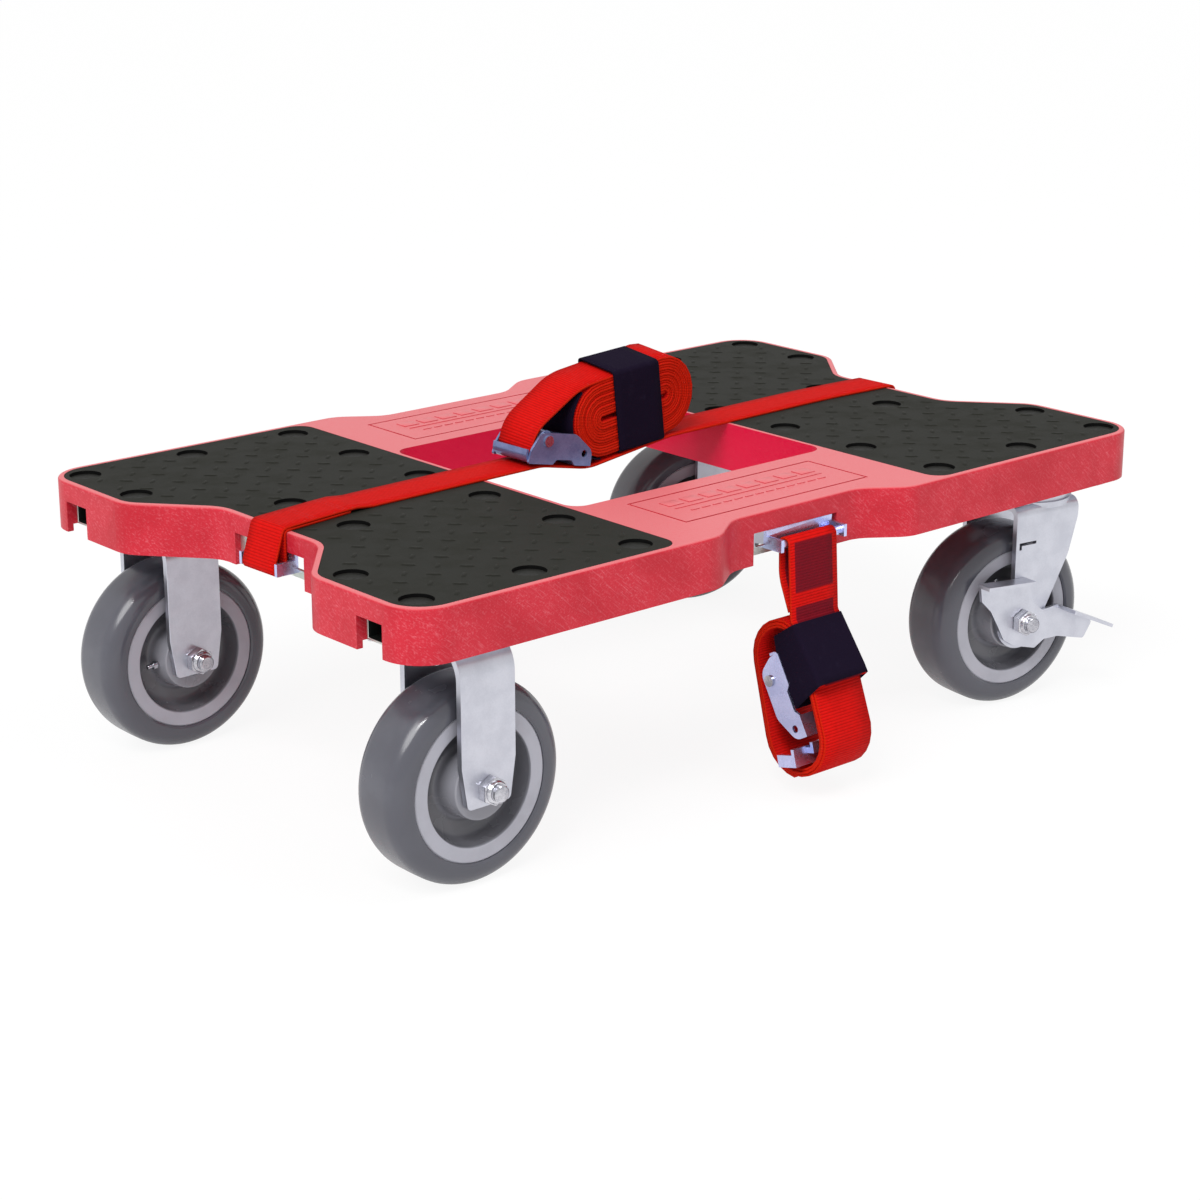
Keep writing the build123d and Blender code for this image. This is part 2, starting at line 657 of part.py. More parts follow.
def axle_nut(seat):
    """Nut of the axle bolt."""
    nut = hex_y(AXLE_HEX, -seat - NUT_HEIGHT, -seat, 0, 0)
    return nut - rod_y(AXLE_DIAMETER / 2, -seat - NUT_HEIGHT - 1, 1 - seat, 0, 0)


# Casters, with the middle of the top plate over the origin of the floor

def caster_plate():
    """Top plate with its bolt holes."""
    plate = Pos(0, 0, PLATE_BOTTOM) * extrude(RectangleRounded(PLATE_LENGTH, PLATE_WIDTH, PLATE_CORNER),
                                              PLATE_THICKNESS)
    for x, y in plate_holes():
        plate -= rod_z(BOLT_DIAMETER / 2, PLATE_BOTTOM - 1, PLATE_TOP + 1, x, y)
    return plate


def arch(half, foot, top, bend):
    """Plain face of a doorway shape with rounded upper corners."""
    points = [(-half, foot), (half, foot), (half, top), (-half, top)]
    return make_face(FilletPolyline(*points, radius=[0, 0, bend, bend], close=True))


def yoke(outline, top, bend):
    """Bent sheet with two legs, trimmed to a side outline."""
    foot = AXLE_Z - SWIVEL_FOOT_RADIUS - FOOT_DROP
    section = arch(LEG_OUTER, foot, top, bend)
    section -= arch(LEG_INNER, foot - 1, top - LEG_THICKNESS, bend - LEG_THICKNESS)
    sheet = extrude(Plane.YZ * section, PLATE_LENGTH, both=True)
    return sheet & outline


def rigid_fork():
    """Yoke welded under its top plate."""
    top = RIGID_LEG_WIDTH / 2
    foot = RIGID_FOOT_WIDTH / 2
    waist = AXLE_Z + RIGID_TAPER
    toe = AXLE_Z - FOOT_DROP
    points = [(-top, PLATE_BOTTOM), (top, PLATE_BOTTOM), (top, waist),
              (foot, toe), (-foot, toe), (-top, waist)]
    radii = [0, 0, RIGID_ROUND, FOOT_ROUND, FOOT_ROUND, RIGID_ROUND]
    outline = side_plate(points, -2 * LEG_OUTER, 2 * LEG_OUTER, radii)
    fork = yoke(outline, PLATE_BOTTOM, RIGID_BEND) + caster_plate()
    return fork - rod_y(AXLE_DIAMETER / 2, -2 * LEG_OUTER, 2 * LEG_OUTER, 0, AXLE_Z)


def race_ring(z0, z1):
    """Hardened ring with a ball groove."""
    outer = (RACE_DIAMETER + RACE_WIDTH) / 2
    inner = (RACE_DIAMETER - RACE_WIDTH) / 2
    ring = rod_z(outer, z0, z1, 0, 0) - rod_z(inner, z0 - 1, z1 + 1, 0, 0)
    return ring - Pos(0, 0, BALL_Z) * Torus(RACE_DIAMETER / 2, BALL_DIAMETER / 2 + RUNNING_FIT)


def swivel_plate():
    """Top plate with the upper race under it."""
    plate = caster_plate() + race_ring(PLATE_BOTTOM - RACE_HEIGHT, PLATE_BOTTOM)
    return plate - rod_z(KINGPIN_DIAMETER / 2, PLATE_BOTTOM - 1, PLATE_TOP + 1, 0, 0)


def kingpin():
    """Pivot pin of the swivel, headed under the fork."""
    under = FORK_TOP - LEG_THICKNESS - KINGPIN_GAP
    pin = rod_z(KINGPIN_DIAMETER / 2, under - KINGPIN_HEAD, PLATE_TOP, 0, 0)
    return pin + rod_z(0.75 * KINGPIN_DIAMETER, under - KINGPIN_HEAD, under, 0, 0)


def swivel_balls():
    """Ball set of one swivel."""
    turns = [radians(360 * i / BALL_COUNT) for i in range(BALL_COUNT)]
    middle = RACE_DIAMETER / 2
    return [Pos(middle * cos(a), middle * sin(a), BALL_Z) * Sphere(BALL_DIAMETER / 2) for a in turns]


def swivel_fork():
    """Leaning yoke with the lower race, its axle trailing behind the kingpin."""
    foot = SWIVEL_FOOT_RADIUS
    points = [(-SWIVEL_BACK, FORK_TOP), (-SWIVEL_BACK, AXLE_Z + SWIVEL_KNEE), (-foot, AXLE_Z), (foot, AXLE_Z),
              (SWIVEL_SHIN, AXLE_Z + SWIVEL_SHIN), (SWIVEL_FRONT, AXLE_Z + SWIVEL_SHOULDER),
              (SWIVEL_FRONT, FORK_TOP)]
    radii = [0, SWIVEL_ROUND, 0, 0, 2 * SWIVEL_ROUND, SWIVEL_ROUND, 0]
    blade = side_plate(points, -2 * LEG_OUTER, 2 * LEG_OUTER, radii)
    blade += rod_y(foot, -2 * LEG_OUTER, 2 * LEG_OUTER, 0, AXLE_Z)
    fork = Pos(-SWIVEL_TRAIL, 0, 0) * yoke(blade, FORK_TOP, SWIVEL_BEND)
    crown = (RACE_DIAMETER + RACE_WIDTH) / 2 + SWIVEL_RIM
    fork += rod_z(crown, FORK_TOP - LEG_THICKNESS, FORK_TOP, 0, 0)
    fork += race_ring(FORK_TOP, LOWER_RACE_TOP)
    fork -= rod_z(KINGPIN_DIAMETER / 2 + RUNNING_FIT, FORK_TOP - 2 * LEG_THICKNESS, LOWER_RACE_TOP + 1, 0, 0)
    fork -= rod_y(AXLE_DIAMETER / 2, -2 * LEG_OUTER, 2 * LEG_OUTER, -SWIVEL_TRAIL, AXLE_Z)
    slot_x = -SWIVEL_TRAIL - LEVER_SLOT_BACK
    slot_z = AXLE_Z + LEVER_SLOT_RISE
    for width, drop in ((LEVER_SLOT, LEVER_SLOT_WIDTH), (LEVER_SLOT_WIDTH, LEVER_SLOT_DROP)):
        fork -= block(slot_x, slot_x + width, -LEG_OUTER - 1, -LEG_INNER + 1, slot_z - drop, slot_z)
    return fork


def brake_lever():
    """Stamped lever on the axle, with a stiffening flange and a toe pedal."""
    plate = [(-46, 39), (-44, 24), (-34, 14), (-26, 0), (-19, -13), (-8, -20), (15, -26), (25, -20),
             (40, -20), (69, -27), (78, -13), (39, 8), (22, 6), (12, 14), (4, 36.5)]
    flange = [(-46, 39), (4, 36.5), (3.85, 33.5), (-46.15, 36)]
    pedal = [(39, 8), (82, -11), (80.8, -13.7), (37.8, 5.3)]
    back = -LEG_OUTER - BRAKE_GAP
    lever = side_plate(plate, -BRAKE_FACE, back, BRAKE_ROUND)
    lever += side_plate(flange, -BRAKE_FACE - BRAKE_FLANGE, back)
    lever += side_plate(pedal, -BRAKE_FACE - PEDAL_DEPTH, back)
    return lever - rod_y(AXLE_DIAMETER / 2 + RUNNING_FIT, -2 * BRAKE_FACE, 0, 0, 0)


# Strap hardware

def track_fitting(width, ear_gap, tongue):
    """Hook for a track slot, with a bar for the webbing. Outward is -Y, the slot's middle is the origin."""
    ear_x = width / 2 + ear_gap
    edge = ear_x + FITTING_THICKNESS
    reach = -FITTING_REACH - FITTING_BAR
    high = NOTCH_HEIGHT - SLOT_RISE - 2 * TONGUE_GAP
    half = tongue / 2
    pieces = [
        block(-edge, edge, -FITTING_THICKNESS, 0, FITTING_LOW, high),
        block(-half, half, -FITTING_THICKNESS, FITTING_LIP, TONGUE_GAP, SLOT_HEIGHT / 2 - TONGUE_GAP),
        block(-half, half, TRACK_THICKNESS, FITTING_LIP, TONGUE_GAP, FITTING_HIGH),
        rod_x(FITTING_BAR / 2, -edge, edge, -FITTING_REACH, -BAR_DROP),
        block(-edge, -ear_x, reach, 0, FITTING_LOW, BAR_DROP / 2),
        block(ear_x, edge, reach, 0, FITTING_LOW, BAR_DROP / 2),
    ]
    return join(pieces)


def buckle_half(width):
    """Distance of a cheek's inner face from the middle of a buckle for one webbing width."""
    return width / 2 + BUCKLE_EASE


def buckle_frame(width):
    """Cam buckle: two cheeks, a base in two strips and a bent-up lip. The strap runs along X on the base."""
    inner = buckle_half(width)
    outer = inner + BUCKLE_WALL
    front = -BUCKLE_FRONT
    back = BUCKLE_BACK
    top = BUCKLE_HEIGHT
    foot = 2 * BUCKLE_WALL
    rear_foot = back - BUCKLE_REAR_FOOT
    front_foot = rear_foot - BUCKLE_GAP
    edge = CHEEK_EDGE
    shoulder = CHEEK_SHOULDER
    outline = [(front, 0, edge), (front + edge, 0.4 * top, shoulder), (front + shoulder, top, shoulder),
               (back - 2 * shoulder, top, shoulder), (back, top / 2, shoulder), (back, 0, edge),
               (rear_foot, 0, edge), (rear_foot - foot, foot, edge), (front_foot + foot, foot, edge),
               (front_foot, 0, edge)]
    cheek = [(x, z) for x, z, r in outline]
    radii = [r for x, z, r in outline]
    frame = side_plate(cheek, -outer, -inner, radii)
    frame += side_plate(cheek, inner, outer, radii)
    lip_back = LIP_X + BUCKLE_WALL
    lip = [(front_foot, 0, 0), (LIP_X, 0, LIP_BEND), (LIP_X, LIP_HEIGHT, 0), (lip_back, LIP_HEIGHT, 0),
           (lip_back, BUCKLE_WALL, LIP_BEND - BUCKLE_WALL), (front_foot, BUCKLE_WALL, 0)]
    frame += side_plate([(x, z) for x, z, r in lip], -inner, inner, [r for x, z, r in lip])
    frame += block(rear_foot, back, -outer, outer, 0, BUCKLE_WALL)
    frame -= rod_y(PIN_DIAMETER / 2, -2 * outer, 2 * outer, back - HOLE_INSET, HOLE_RISE)
    return frame - rod_y(PIN_DIAMETER / 2, -2 * outer, 2 * outer, PIVOT_X, PIVOT_Z)


def cam_pin(width):
    """Pin of the cam lever, peened over both cheeks."""
    outer = buckle_half(width) + BUCKLE_WALL
    end = outer + PIN_DIAMETER / 4
    pin = rod_y(PIN_DIAMETER / 2, -end, end, PIVOT_X, PIVOT_Z)
    for s in (-1, 1):
        y0, y1 = sorted((s * outer, s * end))
        pin += rod_y(0.75 * PIN_DIAMETER, y0, y1, PIVOT_X, PIVOT_Z)
    return pin


def cam_lever(width):
    """Toothed cam with its thumb plate."""
    half = width / 2
    drum = rod_y(CAM_DIAMETER / 2, -half, half, PIVOT_X, PIVOT_Z)
    low = PIVOT_Z + 1
    thumb = block(PIVOT_X, PIVOT_X + LEVER_LENGTH, -half, half, low, low + LEVER_THICKNESS)
    return drum + thumb - rod_y(PIN_DIAMETER / 2 + RUNNING_FIT, -2 * half, 2 * half, PIVOT_X, PIVOT_Z)


def strap_frame():
    """Frame of the top strap, which lies a little askew: X along the strap, its middle line at local Y 0."""
    return Pos(0, STRAP_Y, 0) * Rot(0, 0, STRAP_SLANT)


def top_buckle_place():
    """Place of the buckle on the top strap."""
    return strap_frame() * Pos(BUCKLE_X, 0, BUCKLE_Z) * Rot(0, BUCKLE_TILT, 0)


def strap_side(x):
    """Local Y of the top strap's middle line, which turns forward near both ends."""
    turn = STRAP_TURN_LEFT if x < 0 else STRAP_TURN_RIGHT
    return -max(0, abs(x) - STRAP_KINK_X) * tan(radians(turn))


def top_hook_places():
    """Places of the two fittings at the top strap's ends."""
    reach = END_BAR_X + FITTING_BAR / 2
    ends = {"left": -reach, "right": reach}
    shifts = {side: x * tan(radians(STRAP_SLANT)) + strap_side(x) for side, x in ends.items()}
    return [Pos(0, STRAP_Y + shift, 0) * to_track(side) for side, shift in shifts.items()]


def hank_frame():
    """Frame of the hanging hank at its middle: Z along its height, which leans, and the front at local -Y."""
    return Pos(HANK_X, HANK_Y, HANK_Z) * Rot(-HANK_LEAN, 0, 0)


def side_buckle_place():
    """Place of the buckle in the hank's hollow: lip up, base to the front, lever to the back."""
    turn = radians(SIDE_BUCKLE_TURN)
    seat = Plane(origin=(0, -SIDE_BUCKLE_FORWARD, SIDE_BUCKLE_RISE), x_dir=(0, -sin(turn), -cos(turn)),
                 z_dir=(0, cos(turn), -sin(turn)))
    return hank_frame() * seat.location


def side_hook_place():
    """Place of the spare fitting in the round bottom of the hank's hollow, its bar to the back."""
    half = (FITTING_REACH + FITTING_BAR + FITTING_LIP) / 2
    room = HANK_DEPTH / 2 - HANK_WALL - HANK_GAP
    bottom = -HANK_STRAIGHT - HANK_SAG - sqrt(room ** 2 - half ** 2)
    return hank_frame() * Pos(0, FITTING_LIP - half, bottom - FITTING_LOW) * Rot(0, 0, 180)


# Webbing

def webbing(width, points, radii, side):
    """Flat strap swept along a path, with its width along one direction at the path's start."""
    path = FilletPolyline(*points, radius=radii)
    section = Plane(origin=path @ 0, x_dir=side, z_dir=path % 0) * Rectangle(width, WEBBING_THICKNESS)
    return sweep(section, path=path)


def top_strap():
    """Strap from the left track over the deck and the opening to the right track."""
    turn = radians(STRAP_TURN_LEFT)
    left = TOP_WIDTH / 2 * sin(radians(STRAP_TURN_LEFT + STRAP_SLANT))
    right = TOP_WIDTH / 2 * sin(radians(STRAP_TURN_RIGHT - STRAP_SLANT))
    outer = END_BAR_X + FITTING_BAR / 2 + 2 * WEBBING_LIFT
    edge = END_FACE + STRAP_BEND / 2 + WEBBING_THICKNESS / 2
    points = [(-outer - left, BAR_Z), (-edge - left, STRAP_Z), (-STRAP_KINK_X, STRAP_Z),
              (BUCKLE_X + PIVOT_X, STRAP_Z), (LOW_X, SAG_Z), (REST_X, STRAP_Z),
              (STRAP_KINK_X, STRAP_Z), (edge + right, STRAP_Z), (outer + right, BAR_Z)]
    sag = [STRAP_CURVE, STRAP_CURVE, STRAP_CURVE]
    radii = [STRAP_BEND, STRAP_KINK_RADIUS, *sag, STRAP_KINK_RADIUS, STRAP_BEND]
    path = [(x, strap_side(x), z) for x, z in points]
    return strap_frame() * webbing(TOP_WIDTH, path, radii, (-sin(turn), cos(turn), 0))


def roll_solid(half, growth=0.0):
    """Rolled tail of a half width: straight above and below, round at both ends, taller at the back."""
    low = SlotOverall(ROLL_LENGTH + 2 * growth, ROLL_HEIGHT + 2 * growth)
    high = SlotOverall(ROLL_LENGTH + 2 * growth, ROLL_HEIGHT + ROLL_FLARE + 2 * growth)
    front = Plane(origin=(0, -half, 0), x_dir=(1, 0, 0), z_dir=(0, -1, 0))
    back = Plane(origin=(0, half, ROLL_FLARE / 2), x_dir=(1, 0, 0), z_dir=(0, -1, 0))
    return loft([front * low, back * high])


def roll_frame():
    """Frame of the rolled tail at its middle, level with the strap that rises under it."""
    return strap_frame() * Pos(ROLL_X, 0, ROLL_Z) * Rot(0, -ROLL_TILT, 0)


def roll_point(along, above):
    """X and Z, in the strap's frame, of a place given along and above the roll's middle."""
    tilt = radians(ROLL_TILT)
    return (ROLL_X + along * cos(tilt) - above * sin(tilt), ROLL_Z + along * sin(tilt) + above * cos(tilt))


def top_roll():
    """Rolled tail on the strap, with the free run that rises from the buckle."""
    coil = roll_frame() * roll_solid(TOP_WIDTH / 2)
    tilt = radians(BUCKLE_TILT)
    throat = LIP_X + BUCKLE_WALL + 2 * WEBBING_THICKNESS
    floor = BUCKLE_WALL + 1.5 * WEBBING_THICKNESS
    start_x = BUCKLE_X + throat * cos(tilt) + floor * sin(tilt)
    start_z = BUCKLE_Z - throat * sin(tilt) + floor * cos(tilt)
    end = BAND_SHIFT - BAND_WIDTH / 2 - 3 * BAND_THICKNESS
    top = (ROLL_HEIGHT + ROLL_FLARE) / 2 - 0.4 * WEBBING_THICKNESS
    points = [(start_x, start_z), (start_x + RUN_LEAN, start_z + RUN_RISE), roll_point(end - RUN_TOP, top),
              roll_point(end, top)]
    run = webbing(TOP_WIDTH, [(x, 0, z) for x, z in points], [RUN_RADIUS, 2 * RUN_RADIUS], (0, 1, 0))
    return coil + strap_frame() * run


def top_band():
    """Wrap band round the rolled tail."""
    inner_half = TOP_WIDTH / 2 + WEBBING_GAP
    outer_half = inner_half + BAND_THICKNESS
    outer = roll_solid(outer_half, WEBBING_GAP + BAND_THICKNESS)
    inner = roll_solid(inner_half, WEBBING_GAP)
    cut = Pos(BAND_SHIFT, 0, 0) * Box(BAND_WIDTH, 4 * outer_half, 4 * ROLL_HEIGHT)
    return roll_frame() * ((outer - inner) & cut)


def hank_sheet(face, half):
    """Side view of the hank, as height and forward depth, made as wide as two half widths."""
    upright = Plane(origin=(0, 0, 0), x_dir=(0, 0, 1), z_dir=(1, 0, 0))
    return hank_frame() * extrude(upright * face, half, both=True)


def hank_face(growth):
    """Outline of the hank as height and forward depth: round behind and below, sloping in front above."""
    reach = HANK_DEPTH / 2
    top = HANK_STRAIGHT + reach
    bottom = -top - HANK_SAG
    points = [(top, -reach), (top, HANK_PEAK), (HANK_BELLY, reach), (bottom, reach), (bottom, -reach)]
    bend = reach - WEBBING_THICKNESS / 2
    radii = [bend, HANK_PEAK_ROUND, bend, bend, bend]
    face = make_face(FilletPolyline(*points, radius=radii, close=True))
    return offset(face, amount=growth) if growth else face


def hank_wall(grow_out, grow_in, half):
    """The hank's wall as a long ring, open at -X and +X."""
    return hank_sheet(hank_face(grow_out) - hank_face(-HANK_WALL - grow_in), half)


def side_roll():
    """Webbing rolled into a hanging hank round its buckle."""
    return hank_wall(0, 0, SIDE_WIDTH / 2)


def hank_point(forward, up):
    """A point in the hank's middle plane, given forward of and above the hank's middle."""
    lean = radians(HANK_LEAN)
    y = HANK_Y - forward * cos(lean) + up * sin(lean)
    z = HANK_Z + forward * sin(lean) + up * cos(lean)
    return (HANK_X, y, z)


def side_strap():
    """Webbing from the front fitting down to the hank, along its slope and down its front."""
    stand = HANK_DEPTH / 2 + WEBBING_LIFT
    shift = WEBBING_LIFT * tan(HANK_SLOPE / 2)
    over = hank_point(stand - HANK_LEAD * sin(HANK_SLOPE), HANK_BELLY + shift + HANK_LEAD * cos(HANK_SLOPE))
    corner = hank_point(stand, HANK_BELLY + shift)
    end = hank_point(stand, HANK_BAND_LOW - 3 * WEBBING_THICKNESS)
    bar = (HANK_X, -SIDE_BAR_Y - FITTING_BAR / 2 - WEBBING_LIFT, BAR_Z)
    return webbing(SIDE_WIDTH, [bar, over, corner, end], [STRAP_BEND, stand], (1, 0, 0))


def side_band():
    """Wrap band round the hank's front wall and the strap that lies on it."""
    half = SIDE_WIDTH / 2 + WEBBING_GAP
    strap = WEBBING_THICKNESS + 2 * WEBBING_GAP
    outer = hank_wall(strap + BAND_THICKNESS, BAND_THICKNESS + WEBBING_GAP, half + BAND_THICKNESS)
    inner = hank_wall(strap, WEBBING_GAP, half)
    high = HANK_BAND_TOP + HANK_DEPTH * tan(radians(HANK_BAND_CUT))
    points = [(HANK_BAND_LOW, 0), (HANK_BAND_LOW, HANK_DEPTH), (high, HANK_DEPTH), (HANK_BAND_TOP, 0)]
    return (outer - inner) & hank_sheet(make_face(Polyline(*points, close=True)), SIDE_WIDTH)


# Assembly

def wheel_nodes(name, place):
    """The turning pieces of one wheel on its axle's place, with its nipple turned up from the back."""
    spin = place * Rot(0, NIPPLE_TURNS[name], 0)
    return {
        f"tyre_{name}": place * tyre(),
        f"wheel_core_{name}": spin * wheel_core(),
        f"roller_bearing_{name}": place * roller_bearing(),
        f"grease_nipple_{name}": spin * grease_nipple(),
    }


def build():
    """All pieces by node name."""
    nodes = {
        "deck": deck(),
        "tread_mat_right": tread_mat(0),
        "tread_mat_left": tread_mat(180),
        "mat_rivets": mat_rivets(),
        "track_screws": track_screws(),
        "handle_sockets": socket_tubes(),
        "caster_bolts": caster_bolts(),
        "caster_inserts": caster_inserts(),
    }
    for side in TRACK_SIDES:
        nodes[f"track_plate_{side}"] = track_plate(side)
    rigid = {"front": Pos(-CASTER_X, -RIGID_Y, 0), "rear": Pos(-CASTER_X, RIGID_Y, 0)}
    stems = {"front": Pos(CASTER_X, -SWIVEL_Y, 0), "rear": Pos(CASTER_X, SWIVEL_Y, 0)}
    swivel = {"front": stems["front"] * Rot(0, 0, SWIVEL_TURN_FRONT),
              "rear": stems["rear"] * Rot(0, 0, SWIVEL_TURN_REAR)}
    axle = Pos(0, 0, AXLE_Z)
    trail = Pos(-SWIVEL_TRAIL, 0, AXLE_Z)
    for end, place in rigid.items():
        nodes[f"rigid_fork_{end}"] = place * rigid_fork()
    nodes["rigid_axle_bolts"] = group([p * axle * axle_bolt(LEG_OUTER) for p in rigid.values()])
    nodes["rigid_axle_nuts"] = group([p * axle * axle_nut(LEG_OUTER) for p in rigid.values()])
    nodes["rigid_axle_bushes"] = group([p * axle * axle_bush() for p in rigid.values()])
    seat = BRAKE_FACE + BRAKE_GAP
    for end, place in swivel.items():
        nodes[f"swivel_plate_{end}"] = stems[end] * swivel_plate()
        nodes[f"swivel_fork_{end}"] = place * swivel_fork()
        nodes[f"swivel_axle_bolt_{end}"] = place * trail * axle_bolt(seat)
        nodes[f"swivel_axle_nut_{end}"] = place * trail * axle_nut(seat)
        nodes[f"swivel_axle_bush_{end}"] = place * trail * axle_bush()
        nodes[f"brake_lever_{end}"] = place * trail * brake_lever()
    nodes["kingpins"] = group([p * kingpin() for p in swivel.values()])
    nodes["swivel_balls"] = group([p * ball for p in swivel.values() for ball in swivel_balls()])
    nodes |= wheel_nodes("front_left", rigid["front"] * axle)
    nodes |= wheel_nodes("rear_left", rigid["rear"] * axle)
    nodes |= wheel_nodes("front_right", swivel["front"] * trail)
    nodes |= wheel_nodes("rear_right", swivel["rear"] * trail)
    nodes["top_strap"] = top_strap()
    nodes["top_roll"] = top_roll()
    nodes["top_band"] = top_band()
    nodes["top_buckle_frame"] = top_buckle_place() * buckle_frame(TOP_WIDTH)
    nodes["top_cam_lever"] = top_buckle_place() * cam_lever(TOP_WIDTH)
    top_fitting = track_fitting(TOP_WIDTH, TOP_EAR_GAP, TOP_TONGUE)
    nodes["top_fittings"] = group([place * top_fitting for place in top_hook_places()])
    nodes["side_strap"] = side_strap()
    nodes["side_roll"] = side_roll()
    nodes["side_band"] = side_band()
    nodes["side_buckle_frame"] = side_buckle_place() * buckle_frame(SIDE_WIDTH)
    nodes["side_cam_lever"] = side_buckle_place() * cam_lever(SIDE_WIDTH)
    hook = track_fitting(SIDE_WIDTH, SIDE_EAR_GAP, SIDE_TONGUE)
    nodes["side_fittings"] = group([Pos(HANK_X, 0, 0) * to_track("front") * hook, side_hook_place() * hook])
    pins = [top_buckle_place() * cam_pin(TOP_WIDTH), side_buckle_place() * cam_pin(SIDE_WIDTH)]
    nodes["cam_pins"] = group(pins)
    return nodes


os.makedirs("parts", exist_ok=True)
for name, shape in build().items():
    export_step(shape, f"parts/{name}.step")
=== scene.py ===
import json
import logging
import math
from dataclasses import dataclass
from enum import Enum
from functools import cache
from typing import Any, Iterable, Mapping, Sequence, Union

import bmesh
import bpy
from mathutils import Matrix, Vector
from mathutils.bvhtree import BVHTree


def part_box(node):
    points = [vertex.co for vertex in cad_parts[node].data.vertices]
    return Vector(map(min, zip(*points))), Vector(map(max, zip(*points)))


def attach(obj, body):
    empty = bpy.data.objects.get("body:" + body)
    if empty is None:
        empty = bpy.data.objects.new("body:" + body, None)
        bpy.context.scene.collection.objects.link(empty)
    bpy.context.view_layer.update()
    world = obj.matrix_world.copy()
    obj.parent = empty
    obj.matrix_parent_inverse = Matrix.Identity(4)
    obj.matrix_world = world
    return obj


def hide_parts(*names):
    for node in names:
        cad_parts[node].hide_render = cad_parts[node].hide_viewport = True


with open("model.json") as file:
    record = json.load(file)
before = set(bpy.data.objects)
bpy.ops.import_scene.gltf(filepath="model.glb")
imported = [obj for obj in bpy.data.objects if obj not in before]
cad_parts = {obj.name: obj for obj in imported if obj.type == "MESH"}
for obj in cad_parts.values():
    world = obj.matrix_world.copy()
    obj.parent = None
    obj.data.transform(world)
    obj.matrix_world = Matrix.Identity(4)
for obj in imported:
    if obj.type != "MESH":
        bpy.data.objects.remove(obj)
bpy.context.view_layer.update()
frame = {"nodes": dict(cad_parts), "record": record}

# Platform dolly, dressed round its frame. Lengths are in metres, and MM turns millimetres into metres.
MM = 0.001
DECK_BODY = "deck_body"
SAME_PLACE = 0.002 * MM
FLAT_ANGLE = math.radians(0.4)
SHARP_ANGLE = math.radians(40.0)
STRAIGHT = 0.499 * math.pi
ALONG = Vector((1.0, 0.0, 0.0))
BACK = Vector((0.0, 1.0, 0.0))
UP = Vector((0.0, 0.0, 1.0))
LOG = logging.getLogger("dolly")
JOINTS = {joint["name"]: joint for joint in frame["record"]["behaviour"]["joints"]}
BODY_OF = {node: body for body, nodes in frame["record"]["behaviour"]["bodies"].items() for node in nodes}
Triple = tuple[float, float, float]
Colour = Triple
WHITE = (1.0, 1.0, 1.0, 1.0)
Value = Union[float, "Socket"]


class Socket:
    """A node's output that takes part in sums, products and comparisons."""

    def __init__(self, shader: "Shader", link: bpy.types.NodeSocket) -> None:
        """Keeps the shader and the output socket."""
        self.shader = shader
        self.link = link

    def _math(self, operation: str, first: Value, second: Value = 0.0) -> "Socket":
        """Adds one Math node of an operation on two values."""
        return self.shader.node("ShaderNodeMath", {"operation": operation}, {0: first, 1: second})

    def __add__(self, other: Value) -> "Socket":
        """Sum."""
        return self._math("ADD", self, other)

    def __sub__(self, other: Value) -> "Socket":
        """Difference."""
        return self._math("SUBTRACT", self, other)

    def __rsub__(self, other: Value) -> "Socket":
        """Difference with the socket second."""
        return self._math("SUBTRACT", other, self)

    def __mul__(self, other: Value) -> "Socket":
        """Product."""
        return self._math("MULTIPLY", self, other)

    def __truediv__(self, other: Value) -> "Socket":
        """Quotient."""
        return self._math("DIVIDE", self, other)

    def __rtruediv__(self, other: Value) -> "Socket":
        """Quotient with the socket second."""
        return self._math("DIVIDE", other, self)

    __radd__ = __add__
    __rmul__ = __mul__

    def waves(self, length: float) -> "Socket":
        """Waves of one length along the value, from 0 to 1."""
        return self._math("SINE", self * (2.0 * math.pi / length)) * 0.5 + 0.5

    def size(self) -> "Socket":
        """The value without its sign."""
        return self._math("ABSOLUTE", self)

    def fraction(self) -> "Socket":
        """What is left after the whole number."""
        return self._math("FRACT", self)

    def most(self, other: Value) -> "Socket":
        """The larger of two values."""
        return self._math("MAXIMUM", self, other)

    def rise(self, low: float, high: float) -> "Socket":
        """Smooth step that leaves 0 at the low value and reaches 1 at the high one."""
        settings = {"interpolation_type": "SMOOTHSTEP"}
        return self.shader.node("ShaderNodeMapRange", settings, {0: self, 1: low, 2: high})


